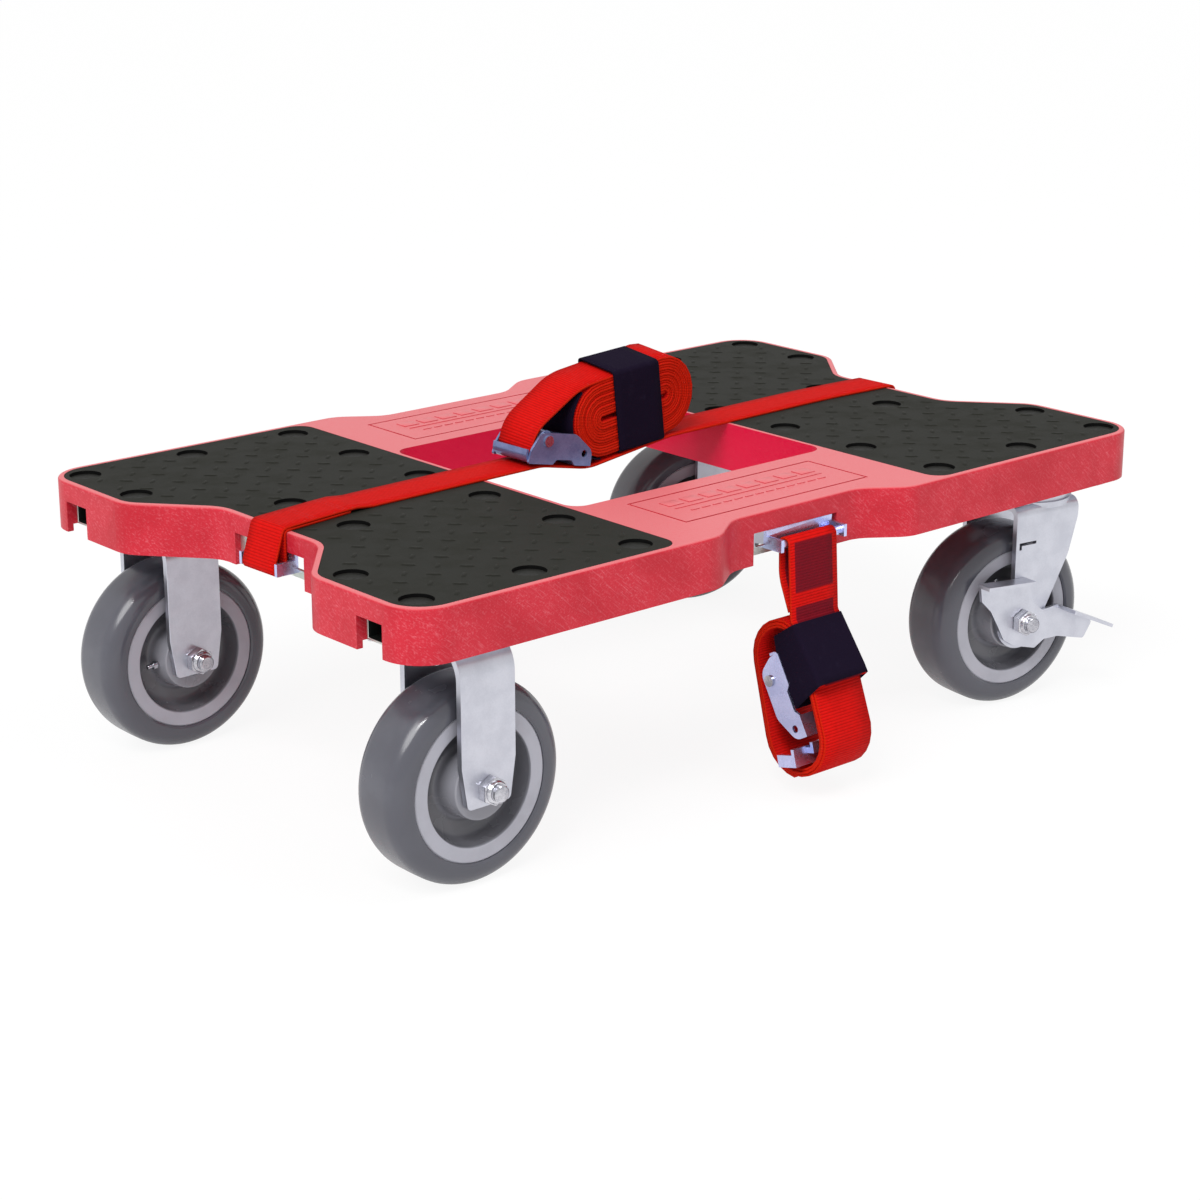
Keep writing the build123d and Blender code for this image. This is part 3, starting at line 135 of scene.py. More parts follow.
class Shader:
    """The node tree of a material or a world, written as expressions."""

    def __init__(self, name: str, is_world: bool = False) -> None:
        """Starts an empty node tree.

        Args:
            name: the name of the material or world.
            is_world: whether the tree lights the world.
        """
        self.owner = (bpy.data.worlds if is_world else bpy.data.materials).new(name)
        self.output = "ShaderNodeOutputWorld" if is_world else "ShaderNodeOutputMaterial"
        self.owner.use_nodes = True
        self.tree = self.owner.node_tree
        self.tree.nodes.clear()

    def node(self, kind: str, settings: Mapping[str, Any], inputs: Mapping[Union[str, int], Any],
             output: Union[str, int] = 0) -> Socket:
        """Makes one node.

        Args:
            kind: the node's type.
            settings: its properties; "stops" are a ramp's positions and colours.
            inputs: values or links by socket name or number.
            output: the output to return.

        Returns:
            The chosen output.
        """
        made = self.tree.nodes.new(kind)
        for name, value in settings.items():
            if name == "stops":
                for element, (place, colour) in zip(made.color_ramp.elements, value):
                    element.position = place
                    element.color = (*colour, 1.0)
            else:
                setattr(made, name, value)
        for name, value in inputs.items():
            if isinstance(value, Socket):
                self.tree.links.new(value.link, made.inputs[name])
            else:
                made.inputs[name].default_value = value
        return Socket(self, made.outputs[output])

    def coordinate(self, kind: str) -> Socket:
        """Texture coordinate of one kind, such as Object, Normal or UV."""
        return self.node("ShaderNodeTexCoord", {}, {}, kind)

    def parts(self, vector: Socket) -> tuple[Socket, Socket, Socket]:
        """Splits a vector.

        Args:
            vector: the vector.

        Returns:
            Its X, Y and Z.
        """
        first = self.node("ShaderNodeSeparateXYZ", {}, {0: vector})
        outputs = first.link.node.outputs
        return (first, Socket(self, outputs[1]), Socket(self, outputs[2]))

    def upward(self) -> Socket:
        """How far the surface faces up, from -1 to 1."""
        return self.parts(self.coordinate("Normal"))[2]

    def radius(self) -> Socket:
        """Distance from the axle, which turned pieces keep in their UV map."""
        return self.parts(self.coordinate("UV"))[0]

    def ray(self, kind: str) -> Socket:
        """1 for one kind of ray, such as Camera, Glossy or Transmission."""
        return self.node("ShaderNodeLightPath", {}, {}, f"Is {kind} Ray")

    def turned(self, turn: Triple, scale: Triple) -> Socket:
        """Object coordinates in turned axes, then stretched along them.

        Args:
            turn: angles about X, Y and Z in degrees.
            scale: factors along the turned axes.

        Returns:
            The mapped coordinates.
        """
        angles = tuple(math.radians(a) for a in turn)
        sizes = tuple(1.0 / factor for factor in scale)
        inputs = {"Vector": self.coordinate("Object"), "Rotation": angles, "Scale": sizes}
        return self.node("ShaderNodeMapping", {"vector_type": "TEXTURE"}, inputs)

    def noise(self, scale: float, detail: float = 3.0, place: Union[Socket, None] = None) -> Socket:
        """Noise from 0 to 1, at features per metre of the object's own or other coordinates."""
        inputs = {"Vector": place or self.coordinate("Object"), "Scale": scale, "Detail": detail}
        return self.node("ShaderNodeTexNoise", {}, inputs)

    def cells(self, scale: float) -> Socket:
        """A grey for each of many small cells, as in crystals of zinc.

        Args:
            scale: cells per metre.

        Returns:
            The grey from 0 to 1.
        """
        inputs = {"Vector": self.coordinate("Object"), "Scale": scale}
        tone = self.node("ShaderNodeTexVoronoi", {}, inputs, "Color")
        return self.parts(tone)[0]

    def blend(self, factor: Value, first: Union[Colour, Socket], second: Union[Colour, Socket]) -> Socket:
        """Mixes two colours, with the factor as the share of the second."""
        pair = [c if isinstance(c, Socket) else (*c, 1.0) for c in (first, second)]
        return self.node("ShaderNodeMix", {"data_type": "RGBA"}, {0: factor, 6: pair[0], 7: pair[1]}, 2)

    def relief(self, height: Socket, depth: float) -> Socket:
        """Normal of a surface with a height from 0 to 1, where 1 stands for the depth in metres."""
        return self.node("ShaderNodeBump", {}, {"Height": height, "Distance": depth, "Strength": 1.0})

    def close(self, **sockets: Any) -> None:
        """Wires the surface shader.

        Args:
            sockets: the shader's sockets by name, with _ for each space.
        """
        inputs = {}
        for name, value in sockets.items():
            is_colour = isinstance(value, tuple)
            inputs[name.replace("_", " ")] = (*value, 1.0) if is_colour else value
        self.show(self.node("ShaderNodeBsdfPrincipled", {}, inputs))

    def mix(self, factor: Socket, first: Socket, second: Socket) -> Socket:
        """Mixes two shaders, with the factor as the share of the second."""
        return self.node("ShaderNodeMixShader", {}, {0: factor, 1: first, 2: second})

    def show(self, surface: Socket) -> None:
        """Joins a shader to the tree's output."""
        out = self.tree.nodes.new(self.output)
        self.tree.links.new(surface.link, out.inputs["Surface"])


@dataclass(frozen=True)
class Finish:
    """How one kind of surface looks. Subclasses wire its nodes, with noise in features per metre."""

    slot: str = ""

    def wire(self, shader: Shader) -> None:
        """Adds the finish's nodes to an empty shader."""
        raise NotImplementedError


@cache
def material_of(finish: Finish) -> bpy.types.Material:
    """Makes a finish's material once.

    Args:
        finish: the finish.

    Returns:
        Its material.
    """
    shader = Shader(finish.slot)
    finish.wire(shader)
    return shader.owner


@dataclass(frozen=True)
class DeckPlastic(Finish):
    """Red moulding: finely scratched walls, a paler top of wear and painted sheen, a deep clean wall round
    the opening.
    """

    slot: str = "deck_plastic"
    deep: Colour = (0.42, 0.009, 0.021)
    plain: Colour = (0.55, 0.021, 0.039)
    scuffed: Colour = (0.66, 0.135, 0.165)
    wear_and_sheen: Colour = (0.62, 0.130, 0.143)
    clean: Colour = (0.66, 0.000, 0.042)
    opening: tuple[float, float] = (134.2 * MM, 113.7 * MM)
    slanted: tuple[Triple, Triple] = ((0.0, 41.0, 0.0), (80.0, 430.0, 900.0))
    crossed: tuple[Triple, Triple] = ((0.0, -29.0, 68.0), (85.0, 640.0, 900.0))
    patches: float = 26.0
    grain: float = 800.0
    gloss: float = 0.38
    shine: float = 0.22
    depth: float = 0.2 * MM

    def wire(self, shader: Shader) -> None:
        """Adds scratches, patches, the paler top of wear and painted sheen, and the clean wall of the
        opening.

        Args:
            shader: the empty shader.
        """
        x, y, _ = shader.parts(shader.coordinate("Object"))
        patches = shader.noise(self.patches).rise(0.30, 0.70)
        grain = shader.noise(self.grain)
        slanted = shader.noise(1.0, place=shader.turned(*self.slanted)).rise(0.52, 0.74)
        crossed = shader.noise(1.0, place=shader.turned(*self.crossed)).rise(0.52, 0.74)
        lines = slanted * 0.6 + crossed * 0.6
        scuff = lines * (patches * 0.55 + 0.30)
        body = shader.blend(patches * 0.6 + grain * 0.4, self.deep, self.plain)
        wall = shader.blend(scuff, body, self.scuffed)
        inside = (self.opening[0] - x.size()).rise(0.0, MM) * (self.opening[1] - y.size()).rise(0.0, MM)
        wall = shader.blend(inside, wall, self.clean)
        # painted sheen with wear: faces that look up are painted paler than the walls, with the scratches
        # over them
        rubbed = shader.blend(scuff * 0.8, self.wear_and_sheen, self.scuffed)
        colour = shader.blend(shader.upward().rise(0.5, 0.95), wall, rubbed)
        normal = shader.relief(grain * 0.4 + lines * 0.6, self.depth)
        shader.close(Base_Color=colour, Roughness=self.gloss + scuff * 0.2, Normal=normal,
                     Specular_IOR_Level=self.shine)


@dataclass(frozen=True)
class MatRubber(Finish):
    """Dark olive-black tread rubber, dusty in places, with painted shade in black on its upright walls."""

    slot: str = "mat_rubber"
    black: Colour = (0.0112, 0.0114, 0.0086)
    dusty: Colour = (0.0172, 0.0174, 0.0138)
    side_tone: Colour = (0.0010, 0.0010, 0.0010)
    dust: float = 38.0
    pores: float = 1500.0
    gloss: float = 0.66
    shine: float = 0.12
    depth: float = 0.10 * MM

    def wire(self, shader: Shader) -> None:
        """Adds dust, pores and the painted shade on the upright walls.

        Args:
            shader: the empty shader.
        """
        dust = shader.noise(self.dust, 5.0).rise(0.42, 0.75)
        pores = shader.relief(shader.noise(self.pores, 2.0), self.depth)
        colour = shader.blend(dust * 0.8, self.black, self.dusty)
        # painted shade: faces that stand upright, such as the dimples' far walls, are painted black
        colour = shader.blend(1.0 - shader.upward().rise(0.15, 0.50), colour, self.side_tone)
        shader.close(Base_Color=colour, Roughness=self.gloss + dust * 0.16, Normal=pores,
                     Specular_IOR_Level=self.shine)


@dataclass(frozen=True)
class RivetPlastic(Finish):
    """Black plastic of the push rivets, scratched."""

    slot: str = "rivet_plastic"
    black: Colour = (0.0100, 0.0100, 0.0085)
    rubbed: Colour = (0.0180, 0.0180, 0.0155)
    rub: float = 260.0
    gloss: float = 0.55
    shine: float = 0.15
    depth: float = 0.06 * MM

    def wire(self, shader: Shader) -> None:
        """Adds rubbed patches.

        Args:
            shader: the empty shader.
        """
        rub = shader.noise(self.rub, 4.0).rise(0.45, 0.8)
        colour = shader.blend(rub, self.black, self.rubbed)
        shader.close(Base_Color=colour, Roughness=self.gloss + rub * 0.25, Specular_IOR_Level=self.shine,
                     Normal=shader.relief(rub, self.depth))


@dataclass(frozen=True)
class Plating(Finish):
    """Metal plating with cloudy tone, fine crystals and a little grain."""

    slot: str = "zinc_steel"
    bright: Colour = (0.60, 0.61, 0.675)
    dull: Colour = (0.53, 0.54, 0.605)
    gloss: float = 0.30
    crystals: float = 900.0
    mottle: float = 0.12
    grain: float = 0.02 * MM
    metal: float = 0.95
    clouds: float = 60.0
    pores: float = 1200.0

    def wire(self, shader: Shader) -> None:
        """Adds clouds, crystals and grain.

        Args:
            shader: the empty shader.
        """
        clouds = shader.noise(self.clouds, 4.0)
        crystals = shader.cells(self.crystals)
        tone = (clouds * (1.0 - self.mottle) + crystals * self.mottle).rise(0.30, 0.70)
        colour = shader.blend(tone, self.dull, self.bright)
        roughness = self.gloss + (1.0 - clouds) * 0.10
        shader.close(Base_Color=colour, Metallic=self.metal, Roughness=roughness,
                     Normal=shader.relief(shader.noise(self.pores, 2.0), self.grain))


@dataclass(frozen=True)
class SocketSteel(Finish):
    """Galvanised tube with a bright mouth and painted shade inside."""

    slot: str = "galvanised_steel"
    bright: Colour = (0.62, 0.66, 0.63)
    painted_shade: Colour = (0.006, 0.009, 0.008)
    speck: Colour = (0.06, 0.07, 0.065)
    mouth: float = 372.3 * MM
    edge: float = 0.4 * MM
    specks: float = 500.0
    metal: float = 0.9
    gloss: float = 0.4
    shine: float = 0.1

    def wire(self, shader: Shader) -> None:
        """Adds the bright mouth and the painted shade inside, with paler specks.

        Args:
            shader: the empty shader.
        """
        along = shader.parts(shader.coordinate("Object"))[0].size()
        # painted shade: past the mouth, the tube's inside is painted nearly black
        deep = 1.0 - along.rise(self.mouth - self.edge, self.mouth)
        specks = shader.noise(self.specks, 4.0).rise(0.60, 0.80)
        inner = shader.blend(specks * 0.5, self.painted_shade, self.speck)
        colour = shader.blend(deep, self.bright, inner)
        shader.close(Base_Color=colour, Metallic=self.metal - deep * self.metal,
                     Roughness=self.gloss + deep * 0.4, Specular_IOR_Level=self.shine)


@dataclass(frozen=True)
class WheelTread(Finish):
    """Glossy grey polyurethane, a little dulled where the tread rolls."""

    slot: str = "tread"
    grey: Colour = (0.074, 0.075, 0.092)
    dusty: Colour = (0.102, 0.103, 0.124)
    rolling: float = 72.5 * MM
    fade: float = 2.5 * MM
    dust: float = 30.0
    pores: float = 500.0
    gloss: float = 0.15
    depth: float = 0.01 * MM

    def wire(self, shader: Shader) -> None:
        """Adds dust, mostly where the tread rolls.

        Args:
            shader: the empty shader.
        """
        rolled = shader.radius().rise(self.rolling, self.rolling + self.fade)
        dust = shader.noise(self.dust, 4.0).rise(0.35, 0.8)
        colour = shader.blend((rolled * 0.5 + 0.2) * dust, self.grey, self.dusty)
        shader.close(Base_Color=colour, Roughness=self.gloss + rolled * 0.10 + dust * 0.03,
                     Normal=shader.relief(shader.noise(self.pores, 2.0), self.depth))


@dataclass(frozen=True)
class CorePlastic(Finish):
    """Grey moulded wheel core: a pale rim face, a darker glossy dish and a paler hub."""

    slot: str = "core_plastic"
    pale: Colour = (0.37, 0.37, 0.42)
    dark: Colour = (0.120, 0.120, 0.136)
    middle: Colour = (0.235, 0.235, 0.265)
    rim: float = 46.2 * MM
    rim_fade: float = 0.5 * MM
    hub: float = 29.5 * MM
    hub_fade: float = 1.5 * MM
    clouds: float = 50.0
    pores: float = 600.0
    gloss: float = 0.24
    depth: float = 0.01 * MM

    def wire(self, shader: Shader) -> None:
        """Adds the rim, dish and hub by their distance from the axle.

        Args:
            shader: the empty shader.
        """
        radius = shader.radius()
        on_rim = radius.rise(self.rim - self.rim_fade, self.rim + self.rim_fade)
        on_hub = 1.0 - radius.rise(self.hub - self.hub_fade, self.hub + self.hub_fade)
        clouds = shader.noise(self.clouds, 4.0)
        dish = shader.blend(on_hub, self.dark, self.middle)
        colour = shader.blend(on_rim, dish, self.pale)
        shade = shader.blend(clouds.rise(0.40, 0.80) * 0.15, colour, self.dark)
        shader.close(Base_Color=shade, Roughness=self.gloss + on_rim * 0.16 + clouds * 0.06,
                     Normal=shader.relief(shader.noise(self.pores, 2.0), self.depth))


class Print(Enum):
    """What is printed on a webbing."""

    PLAIN = "plain"
    BLOCKS = "blocks"


@dataclass(frozen=True)
class Webbing(Finish):
    """Red polyester webbing with ribs across it, laid out along its own UV map in metres."""

    slot: str = "webbing"
    red: Colour = (0.56, 0.0050, 0.0035)
    shade: Colour = (0.34, 0.0025, 0.0015)
    side_tone: Colour = (0.50, 0.0120, 0.0020)
    ink: Colour = (0.085, 0.004, 0.012)
    printed: Print = Print.PLAIN
    width: float = 38.0 * MM
    rib: float = 2.3 * MM
    yarn: float = 1.3 * MM
    block: float = 50.0 * MM
    start: float = 37.7 * MM
    fuzz: float = 260.0
    gloss: float = 0.68
    shine: float = 0.06
    depth: float = 0.30 * MM

    def wire(self, shader: Shader) -> None:
        """Adds ribs with painted shade in their grooves, yarns, the tone of the edges and the print.

        Args:
            shader: the empty shader.
        """
        across, along, _ = shader.parts(shader.coordinate("UV"))
        ribs = along.waves(self.rib)
        yarns = across.waves(self.yarn)
        fuzz = shader.noise(self.fuzz, 4.0)
        # painted shade: the grooves between the ribs are painted darker, and the fuzz adds random tone
        groove_shade = (1.0 - ribs).rise(0.55, 0.98)
        colour = shader.blend(groove_shade * 0.75 + fuzz.rise(0.35, 0.75) * 0.25, self.red, self.shade)
        rim = across.size().rise(0.488 * self.width, 0.497 * self.width)
        colour = shader.blend(rim, colour, self.side_tone)
        if self.printed is Print.BLOCKS:
            middle = 1.0 - across.size().rise(0.39 * self.width, 0.41 * self.width)
            phase = ((along + self.start) / self.block).fraction()
            stamped = phase.rise(0.10, 0.13) * (1.0 - phase.rise(0.88, 0.91)) * middle
            colour = shader.blend(stamped * (0.95 - fuzz * 0.2), colour, self.ink)
        weave = shader.relief(ribs * 0.7 + yarns * 0.2 + fuzz * 0.2, self.depth)
        shader.close(Base_Color=colour, Roughness=self.gloss + fuzz * 0.12, Normal=weave,
                     Specular_IOR_Level=self.shine)


@dataclass(frozen=True)
class WrapBand(Finish):
    """Navy-black loop band with a fuzzy face."""

    slot: str = "wrap_band"
    navy: Colour = (0.0075, 0.0042, 0.0135)
    lint: Colour = (0.0150, 0.0110, 0.0260)
    pile: float = 1400.0
    specks: float = 120.0
    gloss: float = 0.86
    shine: float = 0.05
    depth: float = 0.3 * MM

    def wire(self, shader: Shader) -> None:
        """Adds the pile and its lint.

        Args:
            shader: the empty shader.
        """
        pile = shader.noise(self.pile)
        lint = shader.noise(self.specks, 5.0).rise(0.55, 0.85)
        colour = shader.blend(lint * 0.6 + pile.rise(0.5, 0.8) * 0.25, self.navy, self.lint)
        shader.close(Base_Color=colour, Roughness=self.gloss + pile * 0.1, Specular_IOR_Level=self.shine,
                     Normal=shader.relief(pile, self.depth))


@dataclass(frozen=True)
class Thread(Finish):
    """Dark red sewing thread."""

    slot: str = "webbing"
    red: Colour = (0.36, 0.004, 0.006)
    pale: Colour = (0.55, 0.02, 0.025)
    strands: float = 2500.0
    gloss: float = 0.7

    def wire(self, shader: Shader) -> None:
        """Adds the strands.

        Args:
            shader: the empty shader.
        """
        strands = shader.noise(self.strands, 2.0)
        colour = shader.blend(strands.rise(0.4, 0.7), self.red, self.pale)
        shader.close(Base_Color=colour, Roughness=self.gloss + strands * 0.2)


DECK_PLASTIC = DeckPlastic()
MAT_RUBBER = MatRubber()
RIVET_PLASTIC = RivetPlastic()
ZINC = Plating()
GALVANISED = Plating("galvanised_steel", (0.72, 0.77, 0.73), (0.52, 0.57, 0.53), gloss=0.38, crystals=260.0,
                     mottle=0.30)
SOCKET_STEEL = SocketSteel()
FASTENER = Plating("fastener_steel", (0.66, 0.66, 0.70), (0.34, 0.34, 0.38), gloss=0.10)
BEARING = Plating("bearing_steel", (0.55, 0.55, 0.57), (0.36, 0.36, 0.38), gloss=0.22)
BUCKLE = Plating("buckle_steel", (0.20, 0.25, 0.46), (0.12, 0.16, 0.33), gloss=0.16, metal=0.55)
PALE_BUCKLE = Plating("buckle_steel", (0.62, 0.66, 0.95), (0.50, 0.54, 0.82), gloss=0.22)
TREAD = WheelTread()
CORE = CorePlastic()
WEBBING = Webbing()
WIDE_WEBBING = Webbing(width=50.0 * MM)
PRINTED_WEBBING = Webbing(printed=Print.BLOCKS, width=50.0 * MM)
WRAP_BAND = WrapBand()
THREAD = Thread()


def linked(name: str, data: bpy.types.ID) -> bpy.types.Object:
    """Makes an object of a mesh, lamp or camera and links it to the scene.

    Args:
        name: the object's name.
        data: what it holds.

    Returns:
        The object.
    """
    made = bpy.data.objects.new(name, data)
    bpy.context.scene.collection.objects.link(made)
    return made


def mesh_of(name: str, bm: bmesh.types.BMesh, material: bpy.types.Material) -> bpy.types.Mesh:
    """Turns a bmesh into a mesh with one material.

    Args:
        name: the mesh's name.
        bm: the bmesh, which is freed.
        material: the material.

    Returns:
        The mesh.
    """
    mesh = bpy.data.meshes.new(name)
    bm.to_mesh(mesh)
    bm.free()
    mesh.materials.append(material)
    return mesh


def piece(name: str, bm: bmesh.types.BMesh, finish: Finish, body: str, nodes: Sequence[str] = (),
          sharp: float = 35.0) -> bpy.types.Object:
    """Turns a bmesh into a finished object that rides on a body.

    Args:
        name: the piece's name.
        bm: its mesh, which is freed.
        finish: its finish.
        body: the body that it rides on.
        nodes: the CAD nodes that it stands for.
        sharp: degrees past which an edge stays sharp.

    Returns:
        The object.
    """
    mesh = mesh_of(name, bm, material_of(finish))
    mesh.shade_smooth()
    mesh.set_sharp_from_angle(angle=math.radians(sharp))
    made = linked(name, mesh)
    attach(made, body)
    if nodes:
        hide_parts(*nodes)
    LOG.info("%s: %d faces on %s", name, len(mesh.polygons), body)
    return made


def paint(node: str, finish: Finish) -> None:
    """Gives a CAD node a finish.

    Args:
        node: the node's name.
        finish: the finish.
    """
    for slot in frame["nodes"][node].material_slots:
        slot.material = material_of(finish)
    LOG.info("%s: painted %s", node, finish.slot)


def eased(node: str, finish: Finish, edge: float) -> None:
    """Puts a copy of a CAD node in its place, with joined triangles and rounded edges.

    Args:
        node: the node's name.
        finish: its finish.
        edge: width of the rounding.
    """
    bm = bmesh.new()
    bm.from_mesh(frame["nodes"][node].data)
    bmesh.ops.remove_doubles(bm, verts=bm.verts, dist=SAME_PLACE)
    bmesh.ops.dissolve_limit(bm, angle_limit=FLAT_ANGLE, verts=bm.verts, edges=bm.edges)
    made = piece(f"{node}_eased", bm, finish, BODY_OF[node], [node])
    bevel = made.modifiers.new("edges", "BEVEL")
    bevel.width = edge
    bevel.segments = 2
    bevel.limit_method = "ANGLE"
    bevel.angle_limit = SHARP_ANGLE


def rounded(corners: Sequence[Vector], radii: Sequence[float], closed: bool = False,
            segments: int = 6) -> list[Vector]:
    """Points of straight runs joined by arcs.

    Args:
        corners: the runs' corners.
        radii: one radius for each corner; the two ends of an open line have none.
        closed: whether the last corner joins the first.
        segments: pieces of each arc.

    Returns:
        The points in order.
    """
    corners = list(corners)
    if closed:
        triples = zip(corners[-1:] + corners[:-1], corners, corners[1:] + corners[:1], radii)
    else:
        triples = zip(corners, corners[1:], corners[2:], radii)
    points = [] if closed else [corners[0].copy()]
    for before, corner, after, radius in triples:
        one = (before - corner).normalized()
        other = (after - corner).normalized()
        half = one.angle(other) / 2.0
        if radius <= 0.0 or half > STRAIGHT:
            points.append(corner.copy())
            continue
        centre = corner + (one + other).normalized() * (radius / math.sin(half))
        first = corner + one * (radius / math.tan(half)) - centre
        last = corner + other * (radius / math.tan(half)) - centre
        axis = first.cross(last).normalized()
        for i in range(segments + 1):
            turn = Matrix.Rotation((math.pi - 2.0 * half) * i / segments, 3, axis)
            points.append(centre + turn @ first)
    if not closed:
        points.append(corners[-1].copy())
    return points


def soften(bm: bmesh.types.BMesh, edges: Iterable[bmesh.types.BMEdge],
           offset: float) -> list[bmesh.types.BMVert]:
    """Rounds edges by an offset, with two faces across, and gives the rounded shape's vertices."""
    return bmesh.ops.bevel(bm, geom=list(edges), offset=offset, affect="EDGES", segments=2, profile=0.5,
                           material=-1)["verts"]


def verts_in(geometry: Iterable[Any]) -> list[bmesh.types.BMVert]:
    """The vertices among the parts that an operator made."""
    return [part for part in geometry if isinstance(part, bmesh.types.BMVert)]


def spread(count: int, pitch: float) -> list[float]:
    """Places of evenly spaced pieces about their middle."""
    return [(i - (count - 1) / 2.0) * pitch for i in range(count)]


def divided(points: Sequence[Vector], step: float) -> list[Vector]:
    """Cuts long runs of a line into shorter ones.

    Args:
        points: the line's points.
        step: the longest run that is left whole.

    Returns:
        The points with those between them.
    """
    line = [points[0]]
    for here, there in zip(points, points[1:]):
        count = max(1, math.ceil((there - here).length / step))
        line += [here.lerp(there, i / count) for i in range(1, count + 1)]
    return line


def axle_place(corner: str) -> Matrix:
    """Where a wheel's axle stands, from its spin joint.

    Args:
        corner: the wheel's corner.

    Returns:
        The place of a wheel made about the Y axis at the origin.
    """
    spin = JOINTS[f"wheel_{corner}_spin"]
    turn = BACK.rotation_difference(Vector(spin["axis"])).to_matrix().to_4x4()
    return Matrix.Translation(spin["pos_m"]) @ turn


def turned_solid(outline: Sequence[tuple[float, float, float]], steps: int,
                 segments: int) -> bmesh.types.BMesh:
    """Spins a closed outline about the Y axis, with radius and offset kept as UV.

    Args:
        outline: corners as radius, offset along the axle and rounding.
        steps: faces round the axle.
        segments: pieces of each rounding.

    Returns:
        The turned mesh.
    """
    corners = [Vector((radius, offset, 0.0)) for radius, offset, _ in outline]
    profile = rounded(corners, [rounding for _, _, rounding in outline], True, segments)
    bm = bmesh.new()
    verts = [bm.verts.new(point) for point in profile]
    edges = [bm.edges.new(pair) for pair in zip(verts, verts[1:] + verts[:1])]
    bmesh.ops.spin(bm, geom=verts + edges, cent=(0.0, 0.0, 0.0), axis=BACK, angle=2.0 * math.pi, steps=steps,
                   use_merge=True)
    bmesh.ops.remove_doubles(bm, verts=bm.verts, dist=SAME_PLACE / 2.0)
    bmesh.ops.recalc_face_normals(bm, faces=bm.faces)
    layer = bm.loops.layers.uv.verify()
    for face in bm.faces:
        for loop in face.loops:
            spoke = loop.vert.co
            loop[layer].uv = (math.hypot(spoke.x, spoke.z), spoke.y)
    return bm


def add_part(whole: bmesh.types.BMesh, part: bmesh.types.BMesh, place: Matrix) -> None:
    """Moves one mesh into place and adds it to another.

    Args:
        whole: the mesh to add to.
        part: the mesh to add, which is freed.
        place: where it goes.
    """
    bmesh.ops.transform(part, matrix=place, verts=part.verts)
    kept = bpy.data.meshes.new("part")
    part.to_mesh(kept)
    part.free()
    whole.from_mesh(kept)
    bpy.data.meshes.remove(kept)


def ribbon(path: Sequence[Vector], across: Vector, width: float, columns: int = 4) -> bmesh.types.BMesh:
    """Flat sheet drawn along a path, with its width and length as UV.

    Args:
        path: the middle line.
        across: direction of the width.
        width: the width.
        columns: faces across.

    Returns:
        The sheet.
    """
    bm = bmesh.new()
    shares = [i / columns - 0.5 for i in range(columns + 1)]
    row = [bm.verts.new(path[0] + across * (width * share)) for share in shares]
    edges = [bm.edges.new(pair) for pair in zip(row, row[1:])]
    places = {vert: (width * share, 0.0) for vert, share in zip(row, shares)}
    run = 0.0
    for here, there in zip(path, path[1:]):
        grown = bmesh.ops.extrude_edge_only(bm, edges=edges)["geom"]
        row = verts_in(grown)
        edges = [g for g in grown if isinstance(g, bmesh.types.BMEdge) and set(g.verts) <= set(row)]
        bmesh.ops.translate(bm, verts=row, vec=there - here)
        run += (there - here).length
        places |= {vert: ((vert.co - there).dot(across), run) for vert in row}
    bmesh.ops.recalc_face_normals(bm, faces=bm.faces)
    layer = bm.loops.layers.uv.new("weave")
    for face in bm.faces:
        for loop in face.loops:
            loop[layer].uv = places[loop.vert]
    return bm


def thicken(sheet: bpy.types.Object, thickness: float) -> None:
    """Gives a sheet its thickness, half to each side.

    Args:
        sheet: the sheet.
        thickness: the thickness.
    """
    wall = sheet.modifiers.new("thickness", "SOLIDIFY")
    wall.thickness = thickness
    wall.offset = 0.0


def length_of(path: Sequence[Vector]) -> float:
    """Length of a line through points."""
    return sum((there - here).length for here, there in zip(path, path[1:]))


def stadium_winding(half: float, radius: float, pitch: float, turns: float,
                    segments: int = 10) -> list[Vector]:
    """A flat spiral with straight sides, from its top going to the right and inwards.

    Args:
        half: half of the straight side.
        radius: outer radius of the round ends.
        pitch: how much closer each turn lies.
        turns: number of turns.
        segments: pieces of each round end.

    Returns:
        The points, with the length along X and the height along Y.
    """
    points = []
    per_turn = 2 * (segments + 1)
    for i in range(int(turns * per_turn) + 1):
        reach = radius - pitch * i / per_turn
        index = i % per_turn
        side = 1.0 if index <= segments else -1.0
        angle = math.pi * (index % (segments + 1)) / segments
        points.append(Vector((side * (half + reach * math.sin(angle)), side * reach * math.cos(angle), 0.0)))
    return points


